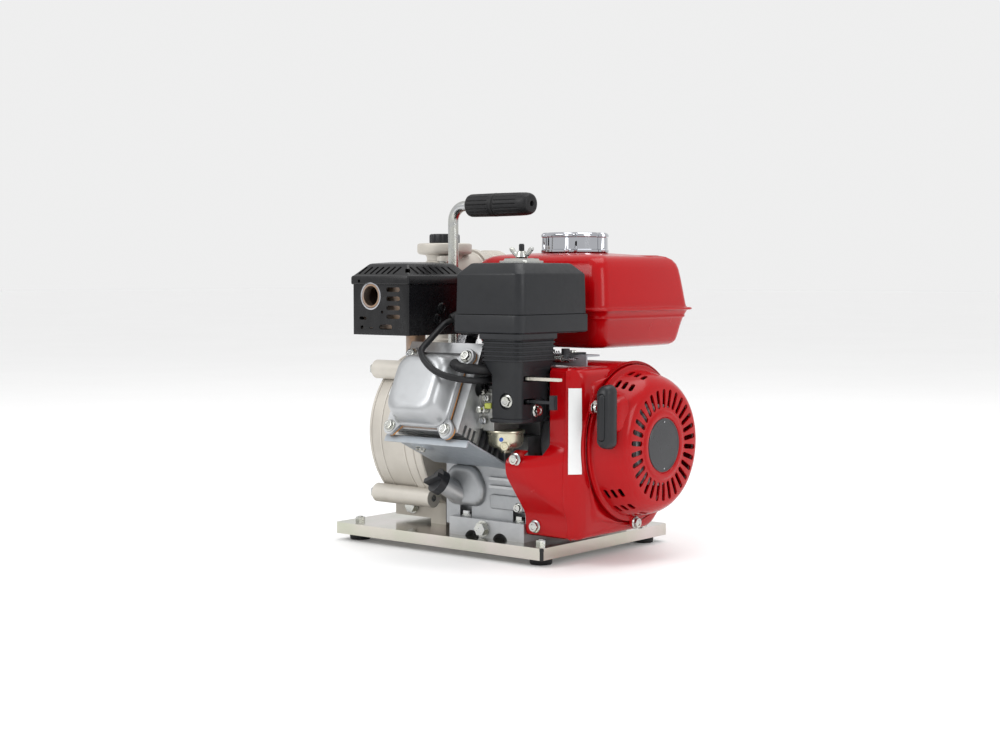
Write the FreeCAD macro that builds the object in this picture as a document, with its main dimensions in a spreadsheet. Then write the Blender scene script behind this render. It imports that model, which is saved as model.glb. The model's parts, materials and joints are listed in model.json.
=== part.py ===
import FreeCAD, Part
import math
import os
import Sketcher

# Portable fire pump: a petrol engine and a close-coupled centrifugal pump on a folded plate.
# Millimetres, +Z up, floor at Z = 0. +X is the recoil starter side, -X the suction side,
# -Y the cylinder side and +Y the fuel tank side. The origin is the middle of the footprint.
# Engine and pump parts are drawn about the crank axis (X axis of their own frame) and then
# seated at its height; the head, valve cover and barrel are drawn upright and leaned over.

SIZES = {
    # frame: middle of the object's box, and crank axis, from the middle of the base plate
    "middle_x": 29.5, "middle_y": -12.68, "crank_y": -3, "crank_height": 127,
    # base plate and feet
    "plate_length": 308, "plate_width": 237.6, "plate_top": 21, "plate_thick": 2.5,
    "flange_deep": 13, "corner_relief": 3, "foot_x": 135, "foot_y": 96,
    "foot_top_radius": 13.5, "foot_low_radius": 12, "foot_screw_radius": 3, "foot_recess": 7,
    "foot_nut_across": 10, "foot_nut_tall": 5, "screw_clearance": 0.3,
    # engine block
    "block_start": -5, "block_end": 112, "block_front": -87, "block_back": 78,
    "block_roof": 68, "block_step_front": -66, "block_step": 8, "pocket_radius": 10.5,
    "pocket_tall": 26, "foot_start": 8, "foot_end": 114.5, "foot_front": -97, "foot_back": 95,
    "foot_thick": 20, "arch_radius": 11, "arch_step": 40, "chamber_radius": 66.5,
    "chamber_start": -3, "chamber_end": 100, "lean": 25, "bore_x": 30, "bore_radius": 34,
    "barrel_radius": 44, "barrel_start": 55, "deck": 126, "fin_half": 48, "fin_thick": 3,
    "fin_step": 9, "fin_start": 82, "fin_count": 5, "mount_x_near": 23.8, "mount_x_far": 100,
    "mount_half": 81, "mount_bolt_radius": 4, "mount_bolt_across": 13, "mount_bolt_head": 6,
    "rib_start": 60, "rib_end": 112, "rib_low": -42, "rib_step": 9, "rib_thick": 3, "rib_proud": 4,
    "neck_radius": 11, "neck_long": 34, "neck_bore": 8, "filler_x": 20, "filler_y": -82,
    "filler_z": -66, "filler_cap_radius": 14, "filler_cap_tall": 9, "cap_wing": 7,
    "cover_start": -19, "cover_radius": 78, "cam_x": 12,
    # crank train
    "bearing_radius": 26, "journal_radius": 15, "running_fit": 0.06, "shaft_radius": 10,
    "shaft_end": -108, "web_radius": 36, "web_thick": 11, "throw": 22.5, "pin_radius": 14,
    "pin_half": 11, "taper_start": 112, "taper_end": 150, "taper_radius": 11, "stub_end": 178,
    "stub_radius": 7, "gear_start": -2, "gear_wide": 8, "crank_teeth": 24, "cam_teeth": 48,
    "gear_module": 1.5, "tooth_top": 1.1, "tooth_foot": 1.9, "cam_shaft_radius": 7.9,
    "cam_from": -14, "cam_to": 106, "lobe_radius": 12, "lobe_rise": 2.5, "lobe_wide": 8,
    "piston_tall": 42, "piston_fit": 0.1, "piston_wall": 6,
    "gudgeon_radius": 8, "rod_clear": 42, "rod_wide": 14, "rod_thick": 9, "rod_eye": 13,
    "crank_to_gudgeon": 102,
    # flywheel and fan
    "wheel_start": 118, "wheel_end": 140, "wheel_radius": 71, "wheel_web": 9, "hub_radius": 22,
    "fan_end": 160, "fan_radius": 78, "fan_hub": 36, "blade_count": 16, "blade_thick": 2.5,
    "cup_end": 188, "cup_radius": 33, "cup_wall": 2, "coil_wide": 46,
    # head, valve cover and valve gear, upright about the bore axis
    "head_half_x": 52, "head_low": -56, "head_high": 46, "head_top": 160, "gasket_thick": 1.5,
    "ear_half_x": 39.5, "ear_half_w": 42, "cover_middle": -14, "ear_radius": 9.5,
    "cover_flange": 5, "dome_half_x": 38, "dome_half_w": 39, "dome_tall": 31, "dome_wall": 2.5,
    "dome_taper": 5, "dome_round": 9, "rocker_room": 12, "valve_offset": 13, "valve_radius": 13,
    "stem_radius": 2.75, "stem_top": 177, "spring_radius": 10, "spring_wire": 1.3,
    "spring_start": 162, "spring_turns": 5, "spring_pitch": 2.9, "rocker_wide": 9,
    "rocker_long": 34, "rocker_thick": 5, "cover_bolt_across": 10, "cover_bolt_head": 5,
    "bolt_flange_radius": 7, "bolt_flange_thick": 1.5, "cover_bolt_radius": 3,
    "side_plate_thick": 2, "side_plate_low": -62, "side_plate_from": 70, "side_plate_to": 158,
    "side_plate_start": -20, "side_plate_end": 98, "side_plate_lip": 18,
    # ignition
    "plug_x": 44, "plug_reach": 19, "plug_radius": 7, "plug_hex": 20.8, "plug_tall": 44,
    "boot_radius": 9.5, "boot_long": 34, "arm_long": 32, "arm_radius": 7, "lead_radius": 3.5,
    # fan shroud and recoil starter
    "shroud_start": 115, "shroud_end": 190, "shroud_wall": 1.6, "shroud_roof": 84,
    "shroud_floor": -98, "shroud_back": 92, "shroud_slant_start": 140, "shroud_mouth": 78,
    "shroud_reach": -131, "shroud_front_y": -93, "recoil_start": 190,
    "recoil_flange_radius": 85.5, "recoil_flange_thick": 3, "recoil_side_radius": 80,
    "recoil_face_radius": 66, "recoil_face": 231, "recoil_wall": 2,
    "slot_count": 30, "slot_inner": 41, "slot_outer": 60, "slot_wide": 4.2, "badge_radius": 29,
    "badge_thick": 0.8, "post_radius": 7, "reel_start": 208, "reel_end": 224,
    "reel_radius": 44, "reel_groove": 35, "reel_groove_wide": 8, "pull_x": 216,
    "rope_radius": 2, "guide_radius": 8, "guide_out": -78, "guide_in": -60, "grip_gap": 0.6,
    "grip_long": 68, "grip_wide": 19, "grip_deep": 20, "grip_round": 4,
    "recoil_bolt_circle": 87.5, "recoil_ear": 8.5, "shroud_bolt_x": 128, "shroud_bolt_z": -87,
    "notch_end": 150, "notch_back": -87, "notch_low": 24,
    # carburettor and air cleaner
    "carb_x": 86, "carb_long": 15, "carb_y": -110, "carb_z": 37, "carb_wide": 42,
    "carb_tall": 40, "intake_radius": 9, "spacer_x": 82, "bowl_x": 100, "bowl_radius": 20,
    "bowl_top": 17, "bowl_shoulder": 4, "bowl_low": -3, "bowl_nose": 8, "elbow_start": 104,
    "spigot_start": 101, "spigot_half": 20,
    "elbow_end": 148, "elbow_front": -147, "elbow_back": -88.5, "elbow_low": 27,
    "elbow_high": 121, "elbow_wall": 3, "elbow_round": 9, "tray_start": 58, "tray_end": 150,
    "tray_front": -147, "tray_back": -29, "tray_low": 121, "tray_high": 141, "tray_wall": 2.5,
    "case_inset": 1.5, "case_high": 196, "case_slope": 12, "case_round": 12, "filter_inset": 9,
    "filter_high": 186, "filter_core": 20, "stud_x": 104, "stud_y": -88, "stud_radius": 3,
    "stud_top": 216.5, "nut_base": 201.2, "nut_radius": 7, "nut_tall": 7, "wing_span": 17,
    "wing_tall": 10, "wing_thick": 3, "lever_thick": 3, "choke_z": 74, "fuel_z": 50,
    "lever_y": -121, "lever_pivot_x": 140, "lever_reach": 182, "lever_wide": 6,
    "fuel_reach": 176, "fuel_knob": 15, "slot_gap": 1.5,
    # governor and throttle control, in front of and under the tank
    "control_start": 90, "control_end": 166, "control_front": -54, "control_back": -30,
    "control_z": 95, "control_thick": 2, "control_lip": 10, "throttle_x": 150,
    "throttle_y": -42, "throttle_reach": 28, "throttle_wide": 9, "link_radius": 1,
    "stop_x": 152, "stop_z": -12, "stop_radius": 9, "stop_tall": 12,
    # muffler
    "guard_start": -78, "guard_end": 6, "guard_front": -162, "guard_back": -58,
    "guard_low": 117, "guard_high": 194, "guard_slope": 13, "guard_wall": 1.5,
    "outlet_x": -50, "outlet_z": 160, "outlet_radius": 13, "guard_hole_radius": 16,
    "can_gap": 8, "can_low": 124, "pipe_x": -34, "pipe_y": -106, "pipe_radius": 11,
    "pipe_low": 78, "vent_wide": 4, "vent_step": 9, "vent_count": 7,
    # fuel tank
    "tank_start": -42, "tank_end": 155, "tank_front": -14, "tank_back": 168, "seam_z": 144,
    "seam_thick": 3, "seam_proud": 5, "tank_low": 101, "tank_high": 206, "low_inset": 12,
    "high_inset": 20, "tank_round": 30, "tank_edge": 12, "tank_wall": 1.2, "cap_x": 51,
    "cap_y": 78, "neck_high": 212, "filler_radius": 22, "cap_low": 209, "cap_high": 232.5,
    "cap_radius": 40, "lobe_count": 6, "lobe_cut": 9, "lobe_at": 45,
    # pump
    "adapter_end": -19, "adapter_neck": 62, "flange_near": -37, "flange_mid": -48,
    "flange_far": -60, "flange_radius": 95.5, "casing_radius": 93, "casing_end": -125,
    "casing_wall": 8, "casing_floor": 10, "suction_end": -172, "suction_radius": 29.8,
    "suction_bore": 25, "suction_collar": 34, "thread_long": 24, "pad_start": -116,
    "pad_half": 26, "pad_low": -100, "ear_circle": 103, "ear_boss": 11, "case_bolt_radius": 4,
    "case_bolt_across": 13, "foot_half": 52, "foot_leg": 26, "seal_start": -56,
    "seal_end": -40, "seal_radius": 19, "impeller_end": -100, "impeller_start": -78,
    "impeller_radius": 74, "impeller_hub": 16, "shroud_plate": 4, "vane_count": 6,
    "vane_thick": 4, "eye_radius": 27, "port_x": -84, "riser_radius": 22, "riser_bore": 16,
    "disc_low": 209.5, "disc_high": 220.5, "disc_radius": 32.5, "branch_z": 183.5,
    "branch_radius": 27, "branch_collar_at": 45, "branch_collar": 31, "branch_collar_wide": 8,
    "branch_end": 97, "port_radius": 29.8, "port_bore": 24, "prime_radius": 18,
    "prime_tall": 11, "prime_stub": 12, "drain_radius": 6, "drain_across": 13, "drain_tall": 7,
    # carrying handle
    "handle_x": -38, "handle_y": -37, "handle_radius": 6, "handle_low": 70,
    "handle_high": 262, "handle_bend": 18, "grip_start": -12, "grip_end": 78,
    "hand_grip_radius": 13.3, "handle_into_grip": 68, "socket_radius": 9.5, "socket_low": 60,
    "socket_high": 102,
}

doc = FreeCAD.newDocument("PortableFirePump")
NODES = {}


class Dim:
    """A size: its number, and the expression that ties it to the spreadsheet."""

    def __init__(self, number, text):
        self.number = number
        self.text = text

    def __add__(self, other):
        other = as_dim(other)
        return Dim(self.number + other.number, f"({self.text} + {other.text})")

    def __sub__(self, other):
        other = as_dim(other)
        return Dim(self.number - other.number, f"({self.text} - {other.text})")

    def __mul__(self, other):
        other = as_dim(other)
        return Dim(self.number * other.number, f"({self.text} * {other.text})")

    def __truediv__(self, other):
        other = as_dim(other)
        return Dim(self.number / other.number, f"({self.text} / {other.text})")

    def __neg__(self):
        return Dim(-self.number, f"(-1 * {self.text})")

    def __radd__(self, other):
        return as_dim(other) + self

    def __rsub__(self, other):
        return as_dim(other) - self

    def __rmul__(self, other):
        return as_dim(other) * self


def as_dim(value):
    return value if isinstance(value, Dim) else Dim(float(value), f"({float(value)})")


def cosine(angle):
    return Dim(math.cos(math.radians(angle.number)), f"cos({angle.text})")


def sine(angle):
    return Dim(math.sin(math.radians(angle.number)), f"sin({angle.text})")


class Sheet:
    """The driving dimensions: every alias of the sheet read as an attribute."""

    def __init__(self, sizes):
        cells = doc.addObject("Spreadsheet::Sheet", "Size")
        for row, (alias, value) in enumerate(sizes.items(), start=1):
            cells.set(f"A{row}", alias)
            cells.set(f"B{row}", str(value))
            cells.setAlias(f"B{row}", alias)
            setattr(self, alias, Dim(float(value), f"Size.{alias}"))


S = Sheet(SIZES)
doc.recompute()

TURNS = {
    "X": FreeCAD.Rotation(FreeCAD.Vector(0, 1, 0), 90),
    "-X": FreeCAD.Rotation(FreeCAD.Vector(0, 1, 0), -90),
    "Y": FreeCAD.Rotation(FreeCAD.Vector(1, 0, 0), -90),
    "-Y": FreeCAD.Rotation(FreeCAD.Vector(1, 0, 0), 90),
    "Z": FreeCAD.Rotation(),
    "-Z": FreeCAD.Rotation(FreeCAD.Vector(1, 0, 0), 180),
}
ACROSS_TO_RADIUS = 1 / math.sqrt(3)


# ---- helpers: binding, primitives, sketched bodies, booleans ----

def bind(thing, prop, size):
    thing.setExpression(prop, as_dim(size).text)


def place(thing, at=(0, 0, 0), turn=None):
    if turn is not None:
        thing.Placement = FreeCAD.Placement(FreeCAD.Vector(), turn)
    for letter, size in zip("xyz", at):
        bind(thing, "Placement.Base." + letter, size)
    return thing


def facing(along):
    """The turn that points a Z-built primitive along an axis name or a direction."""
    if along in TURNS:
        return TURNS[along]
    return FreeCAD.Rotation(FreeCAD.Vector(0, 0, 1), FreeCAD.Vector(*along))


def primitive(kind, sizes, at, along):
    thing = doc.addObject("Part::" + kind, kind)
    for prop, size in sizes.items():
        bind(thing, prop, size)
    return place(thing, at, facing(along))


def rod(radius, length, at=(0, 0, 0), along="Z"):
    return primitive("Cylinder", {"Radius": radius, "Height": length}, at, along)


def taper(radius_a, radius_b, length, at=(0, 0, 0), along="Z"):
    sizes = {"Radius1": radius_a, "Radius2": radius_b, "Height": length}
    return primitive("Cone", sizes, at, along)


def hexagon(across, height, at=(0, 0, 0), along="Z"):
    sizes = {"Circumradius": across * ACROSS_TO_RADIUS, "Height": height}
    return primitive("Prism", sizes, at, along)


def ball(radius, at=(0, 0, 0)):
    return primitive("Sphere", {"Radius": radius}, at, "Z")


def box(low, high):
    """A box from its lowest corner to its highest corner."""
    sizes = {}
    for prop, a, b in zip(("Length", "Width", "Height"), low, high):
        sizes[prop] = as_dim(b) - a
    return primitive("Box", sizes, low, "Z")


def fuse(*parts):
    if len(parts) == 1:
        return parts[0]
    thing = doc.addObject("Part::MultiFuse", "Fuse")
    thing.Shapes = list(parts)
    return thing


def cut(base, *tools):
    thing = doc.addObject("Part::Cut", "Cut")
    thing.Base = base
    thing.Tool = fuse(*tools)
    return thing


def overlap(*parts):
    thing = doc.addObject("Part::MultiCommon", "Common")
    thing.Shapes = list(parts)
    return thing


def group(*parts):
    thing = doc.addObject("Part::Compound", "Group")
    thing.Links = list(parts)
    return thing


def ring(outer, inner, length, at, along="X"):
    return cut(rod(outer, length, at, along), rod(inner, length, at, along))


def new_body():
    return doc.addObject("PartDesign::Body", "Body")


def origin_plane(body, role):
    return [item for item in body.Origin.OriginFeatures if item.Role == role][0]


def outline(body, plane, points, start=0):
    """A closed sketch of straight runs whose corners are bound to the sheet."""
    sketch = body.newObject("Sketcher::SketchObject", "Outline")
    sketch.AttachmentSupport = (origin_plane(body, plane + "_Plane"), [""])
    sketch.MapMode = "FlatFace"
    bind(sketch, "AttachmentOffset.Base.z", start)
    corners = [(as_dim(across), as_dim(up)) for across, up in points]
    count = len(corners)
    for index, (across, up) in enumerate(corners):
        next_across, next_up = corners[(index + 1) % count]
        here = FreeCAD.Vector(across.number, up.number, 0)
        there = FreeCAD.Vector(next_across.number, next_up.number, 0)
        sketch.addGeometry(Part.LineSegment(here, there), False)
    for index in range(count):
        joint = Sketcher.Constraint("Coincident", index, 2, (index + 1) % count, 1)
        sketch.addConstraint(joint)
    for index, corner in enumerate(corners):
        for kind, size in zip(("DistanceX", "DistanceY"), corner):
            fixed = Sketcher.Constraint(kind, -1, 1, index, 1, size.number)
            number = sketch.addConstraint(fixed)
            bind(sketch, f"Constraints[{number}]", size)
    return sketch


def slab(plane, points, start, end):
    """A pad between two levels of a plane's own axis: X for YZ, Y for XZ, Z for XY."""
    body = new_body()
    backwards = plane == "XZ"
    level = -as_dim(start) if backwards else start
    pad = body.newObject("PartDesign::Pad", "Pad")
    pad.Profile = outline(body, plane, points, level)
    pad.Reversed = backwards
    bind(pad, "Length", as_dim(end) - start)
    return body


def turned(points, about="X"):
    """A full revolution: points are (along the axis, radius)."""
    body = new_body()
    if about == "X":
        sketch = outline(body, "XZ", points)
        axis = "H_Axis"
    else:
        sketch = outline(body, "XZ", [(radius, along) for along, radius in points])
        axis = "V_Axis"
    spin = body.newObject("PartDesign::Revolution", "Turn")
    spin.Profile = sketch
    spin.ReferenceAxis = (sketch, [axis])
    spin.Angle = 360
    return body


def tapered(plane, points, level, length, inset, backwards=False):
    """A pad along a plane's normal whose sides close in by an inset over its length."""
    body = new_body()
    pad = body.newObject("PartDesign::Pad", "Pad")
    pad.Profile = outline(body, plane, points, level)
    pad.Reversed = backwards
    bind(pad, "Length", length)
    pad.setExpression("TaperAngle", f"-atan({as_dim(inset).text} / {as_dim(length).text})")
    return body


def rectangle(across_a, across_b, up_a, up_b):
    return [(across_a, up_a), (across_b, up_a), (across_b, up_b), (across_a, up_b)]


def soften(body, radius, wanted, kind="Fillet"):
    """Round (or chamfer) the edges of a body that the test picks."""
    doc.recompute()
    last = body.Tip
    edges = enumerate(last.Shape.Edges, start=1)
    names = [f"Edge{number}" for number, edge in edges if wanted(edge)]
    blend = body.newObject("PartDesign::" + kind, kind)
    blend.Base = (last, names)
    bind(blend, "Radius" if kind == "Fillet" else "Size", radius)
    return body


def runs_along(edge, axis):
    """True for a straight edge parallel to an axis (0, 1, 2 for X, Y, Z)."""
    if len(edge.Vertexes) < 2:
        return False
    run = edge.Vertexes[1].Point - edge.Vertexes[0].Point
    return abs(abs(run[axis]) - edge.Length) < 0.001


def all_near(edge, axis, level):
    """True when every point of an edge is at one level of an axis."""
    slack = 0.01
    return all(abs(vertex.Point[axis] - level.number) < slack for vertex in edge.Vertexes)


def patterned(body, count):
    """Repeat a body's last feature evenly round the X axis."""
    last = body.Tip
    turn = body.newObject("PartDesign::PolarPattern", "Round")
    turn.Originals = [last]
    turn.Axis = (origin_plane(body, "X_Axis"), [""])
    turn.Angle = 360
    bind(turn, "Occurrences", count)
    body.Tip = turn
    return body


def node(name, thing, frame="crank", turn=None):
    """Name a finished piece and seat its frame in the object."""
    thing.Label = name
    up = S.crank_height
    across = S.crank_y - S.middle_y
    if frame == "plate":
        up = 0
        across = -S.middle_y
    place(thing, (-S.middle_x, across, up), turn)
    NODES[name] = thing
    return thing


def leaned(name, thing):
    """Seat a piece drawn with the bore along -Y, leaned over by the cylinder's angle."""
    turn = FreeCAD.Rotation(FreeCAD.Vector(1, 0, 0), -S.lean.number)
    return node(name, thing, turn=turn)


def flange_bolt(at, along, shank):
    """An M6 hexagon flange bolt: head and flange outside the seat, shank behind it."""
    head = hexagon(S.cover_bolt_across, S.cover_bolt_head, at, along)
    washer = rod(S.bolt_flange_radius, S.bolt_flange_thick, at, along)
    back = {"X": "-X", "-Y": "Y", "Z": "-Z", "-X": "X"}[along]
    return fuse(head, washer, rod(S.cover_bolt_radius, shank, at, back))


def corners_of(xs, ys):
    return [(x, y) for x in xs for y in ys]


# ---- base plate and feet (plate frame) ----

FEET = corners_of((-S.foot_x, S.foot_x), (-S.foot_y, S.foot_y))
MOUNTS = corners_of((S.mount_x_near, S.mount_x_far), (-S.mount_half, S.mount_half))


def make_base_plate():
    half_x = S.plate_length / 2
    half_y = S.plate_width / 2
    low = S.plate_top - S.flange_deep
    sheet = box((-half_x, -half_y, low), (half_x, half_y, S.plate_top))
    wall = S.plate_thick
    inside = (half_x - wall, half_y - wall, S.plate_top - wall)
    tools = [box((-inside[0], -inside[1], low), inside)]
    for x, y in corners_of((-half_x, half_x), (-half_y, half_y)):
        tools.append(rod(S.corner_relief, S.flange_deep, (x, y, low)))
    for x, y in FEET:
        tools.append(rod(S.foot_screw_radius, wall, (x, y, inside[2])))
    for x, y in MOUNTS:
        tools.append(rod(S.mount_bolt_radius, wall, (x, y + S.crank_y, inside[2])))
    node("base_plate", cut(sheet, *tools), "plate")


def make_rubber_feet():
    tall = S.plate_top - S.plate_thick
    feet = []
    for x, y in FEET:
        foot = taper(S.foot_low_radius, S.foot_top_radius, tall, (x, y, 0))
        hole = rod(S.foot_screw_radius + S.screw_clearance, tall, (x, y, 0))
        recess = rod(S.foot_recess, S.foot_recess, (x, y, 0))
        feet.append(cut(foot, hole, recess))
    node("rubber_feet", group(*feet), "plate")


def make_foot_fasteners():
    pieces = []
    head = S.foot_nut_tall / 2
    for x, y in FEET:
        length = S.plate_top + S.foot_nut_tall + 1 - S.foot_recess + head
        shank = rod(S.foot_screw_radius, length, (x, y, S.foot_recess - head))
        flat = rod(S.foot_nut_across / 2, head, (x, y, S.foot_recess - head))
        nut = hexagon(S.foot_nut_across, S.foot_nut_tall, (x, y, S.plate_top))
        pieces.append(fuse(shank, flat, nut))
    node("foot_fasteners", group(*pieces), "plate")


# ---- engine block and crank train ----

def cam_axis():
    """The camshaft lies square to the bore, below the crank, at the gears' centre distance."""
    centres = S.gear_module * (S.crank_teeth + S.cam_teeth) / 2
    return (-centres * sine(S.lean), -centres * cosine(S.lean))


def along_bore(distance, square=0):
    """Y and Z of a point out along the bore, and square to it (up is positive)."""
    square = as_dim(square)
    out = as_dim(distance)
    y = -out * cosine(S.lean) + square * sine(S.lean)
    z = out * sine(S.lean) + square * cosine(S.lean)
    return (y, z)


def bore_direction():
    return (0, -cosine(S.lean).number, sine(S.lean).number)


def bore_rod(radius, start, end):
    y, z = along_bore(start)
    return rod(radius, as_dim(end) - start, (S.bore_x, y, z), bore_direction())


def filler_direction():
    return (-0.35, -0.8, 0.5)


def make_engine_block():
    seat = S.plate_top - S.crank_height
    walls = fuse(box((S.block_start, S.block_front, seat + S.foot_thick / 2),
                     (S.block_end, S.block_back, S.block_step)),
                 box((S.block_start, S.block_step_front, 0),
                     (S.block_end, S.block_back, S.block_roof)))
    feet = box((S.foot_start, S.foot_front, seat), (S.foot_end, S.foot_back, seat + S.foot_thick))
    barrel = bore_rod(S.barrel_radius, S.barrel_start, S.deck)
    fins = [barrel]
    for index in range(SIZES["fin_count"]):
        start = S.fin_start + index * S.fin_step
        fin = box((S.bore_x - S.fin_half, -start - S.fin_thick, S.head_low),
                  (S.bore_x + S.fin_half, -start, S.head_high))
        fins.append(place(group(fin), turn=FreeCAD.Rotation(FreeCAD.Vector(1, 0, 0),
                                                            -S.lean.number)))
    ribs = []
    for index in range(2):
        low = S.rib_low - index * S.rib_step
        ribs.append(box((S.rib_start, S.block_front - S.rib_proud, low),
                        (S.rib_end, S.block_front + 1, low + S.rib_thick)))
    spout = rod(S.neck_radius, S.neck_long, (S.filler_x, S.filler_y, S.filler_z),
                filler_direction())
    bed = (S.chamber_start, 0, 0)
    room = S.chamber_end - S.chamber_start
    cam_y, cam_z = cam_axis()
    cam_room = S.gear_module * S.cam_teeth / 2 + 4
    tools = [
        rod(S.chamber_radius, room, bed, "X"),
        rod(S.bearing_radius, S.block_end - S.chamber_start, bed, "X"),
        rod(cam_room, S.cam_x, (S.chamber_start, cam_y, cam_z), "X"),
        rod(S.cam_shaft_radius + S.running_fit, S.cam_to - S.chamber_start + 1,
            (S.chamber_start, cam_y, cam_z), "X"),
        bore_rod(S.bore_radius, 0, S.deck),
        rod(S.neck_bore, S.neck_long, (S.filler_x, S.filler_y, S.filler_z), filler_direction()),
        box((S.block_start, S.block_front + 12, S.block_front + 12),
            (S.chamber_start, S.block_back - 12, S.block_roof - 12)),
    ]
    middle = (S.foot_start + S.foot_end) / 2
    for offset in (-S.arch_step / 2, S.arch_step / 2):
        for side in (S.foot_front, S.foot_back):
            tools.append(rod(S.arch_radius, 30, (middle + offset, side - 15, seat - 4), "Y"))
    for x, y in MOUNTS:
        tools.append(rod(S.mount_bolt_radius, S.foot_thick, (x, y, seat)))
        tools.append(rod(S.pocket_radius, S.pocket_tall, (x, y, seat + S.foot_thick)))
    node("engine_block", cut(fuse(walls, feet, spout, *fins, *ribs), *tools))


def make_crankcase_cover():
    half = S.cover_radius
    case = rod(half, S.block_start - S.cover_start, (S.cover_start, 0, 0), "X")
    cam_y, cam_z = cam_axis()
    skirt = rod(half / 2, S.block_start - S.cover_start, (S.cover_start, cam_y, cam_z), "X")
    tools = [
        rod(S.bearing_radius, S.block_start - S.cover_start - 3, (S.cover_start + 3, 0, 0), "X"),
        rod(S.journal_radius + 1, 3, (S.cover_start, 0, 0), "X"),
        rod(S.cam_shaft_radius + S.running_fit, S.block_start - S.cam_from,
            (S.cam_from, cam_y, cam_z), "X"),
        bore_rod(S.barrel_radius + 0.3, S.barrel_start, S.deck),
    ]
    node("crankcase_cover", cut(fuse(case, skirt), *tools))


def make_engine_bolts():
    seat = S.plate_top - S.crank_height
    bolts = []
    for x, y in MOUNTS:
        top = seat + S.foot_thick
        head = hexagon(S.mount_bolt_across, S.mount_bolt_head, (x, y, top))
        washer = rod(S.mount_bolt_across / 2 + 2, 2, (x, y, top))
        shank = rod(S.mount_bolt_radius, S.foot_thick + 8, (x, y, top), "-Z")
        bolts.append(fuse(head, washer, shank))
    node("engine_bolts", group(*bolts))


def make_drain_plugs():
    seat = S.plate_top - S.crank_height
    middle = (S.foot_start + S.foot_end) / 2
    pad_middle = (S.pad_start + S.flange_far) / 2
    places = [(middle - 4, S.foot_front, seat + 10), (pad_middle, -S.pad_half * 2, S.pad_low + 12)]
    plugs = []
    for at in places:
        head = hexagon(S.drain_across, S.drain_tall, at, "-Y")
        collar = rod(S.drain_radius + 3, 2, at, "-Y")
        plugs.append(fuse(head, collar))
    node("drain_plugs", group(*plugs))


def make_oil_filler_cap():
    """A short plug with a thumb bar, modelled upright; its joint turns it on the spout."""
    stem = rod(S.neck_bore - 0.3, S.neck_bore, (0, 0, -S.neck_bore))
    lid = rod(S.filler_cap_radius, S.filler_cap_tall)
    half = S.filler_cap_radius
    bar = box((-half, -2.5, 0), (half, 2.5, S.filler_cap_tall + S.cap_wing))
    cap = group(fuse(stem, lid, bar))
    direction = FreeCAD.Vector(*filler_direction()).normalize() * (S.neck_long.number + 0.3)
    at = [as_dim(a) + b for a, b in zip((S.filler_x, S.filler_y, S.filler_z), direction)]
    place(cap, at, facing(filler_direction()))
    node("oil_filler_cap", group(cap))


def gear(teeth, start, phase):
    """A spur gear: a disc with straight-flanked teeth a little narrower than their gaps."""
    pitch = S.gear_module * teeth / 2
    root = pitch - S.tooth_foot
    disc = rod(root, S.gear_wide, (start, 0, 0), "X")
    base_half = S.gear_module * 0.95
    tip_half = S.gear_module * 0.36
    low = root - 0.6
    tooth = slab("YZ", [(-base_half, low), (base_half, low),
                        (tip_half, pitch + S.tooth_top), (-tip_half, pitch + S.tooth_top)],
                 start, start + S.gear_wide)
    patterned(tooth, teeth)
    tooth.Tip.Angle = 360
    turn = FreeCAD.Rotation(FreeCAD.Vector(1, 0, 0), phase)
    return place(group(fuse(disc, tooth)), turn=turn)


def make_crankshaft():
    """Journals, webs, pin, timing gear, tapered nose and the long shaft to the impeller."""
    web = S.web_thick
    near = S.bore_x - S.pin_half
    far = S.bore_x + S.pin_half
    main = turned([(S.shaft_end, 0), (S.shaft_end, S.shaft_radius), (S.cover_start, S.shaft_radius),
                   (S.cover_start, S.journal_radius), (near - web, S.journal_radius),
                   (near - web, 0)])
    nose = turned([(far + web, 0), (far + web, S.journal_radius),
                   (S.taper_start, S.journal_radius), (S.taper_end, S.taper_radius),
                   (S.taper_end, S.stub_radius), (S.stub_end, S.stub_radius), (S.stub_end, 0)])
    pin_y, pin_z = along_bore(S.throw)
    pieces = [main, nose, rod(S.pin_radius, far - near + 2, (near - 1, pin_y, pin_z), "X")]
    for start in (near - web, far):
        disc = rod(S.web_radius, web, (start, 0, 0), "X")
        cheek = rod(S.pin_radius + 1, web, (start, pin_y, pin_z), "X")
        pieces.append(overlap(fuse(disc, cheek), rod(S.web_radius + 1, web, (start, 0, 0), "X")))
    pieces.append(gear(S.crank_teeth, S.gear_start, 180 - S.lean.number))
    node("crankshaft", fuse(*pieces))


def make_camshaft():
    cam_y, cam_z = cam_axis()
    shaft = rod(S.cam_shaft_radius, S.cam_to - S.cam_from - 1, (S.cam_from + 0.5, 0, 0), "X")
    half_tooth = 360 / SIZES["cam_teeth"] / 2
    wheel = gear(S.cam_teeth, S.gear_start, -S.lean.number + half_tooth)
    pieces = [shaft, wheel]
    for offset in (-S.valve_offset, S.valve_offset):
        start = S.bore_x + offset - S.lobe_wide / 2
        rise = S.lobe_rise if offset.number < 0 else -S.lobe_rise
        pieces.append(rod(S.lobe_radius - S.lobe_rise, S.lobe_wide, (start, 0, 0), "X"))
        pieces.append(rod(S.lobe_radius - S.lobe_rise, S.lobe_wide, (start, rise, 0), "X"))
    train = place(group(fuse(*pieces)), (0, cam_y, cam_z))
    node("camshaft", group(train))


def make_main_bearings():
    inner = S.journal_radius + S.running_fit
    width = S.block_start - S.cover_start - 4
    near = ring(S.bearing_radius, inner, width, (S.cover_start + 3, 0, 0))
    far = ring(S.bearing_radius, inner, S.block_end - S.chamber_end, (S.chamber_end, 0, 0))
    node("main_bearings", group(near, far))


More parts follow.
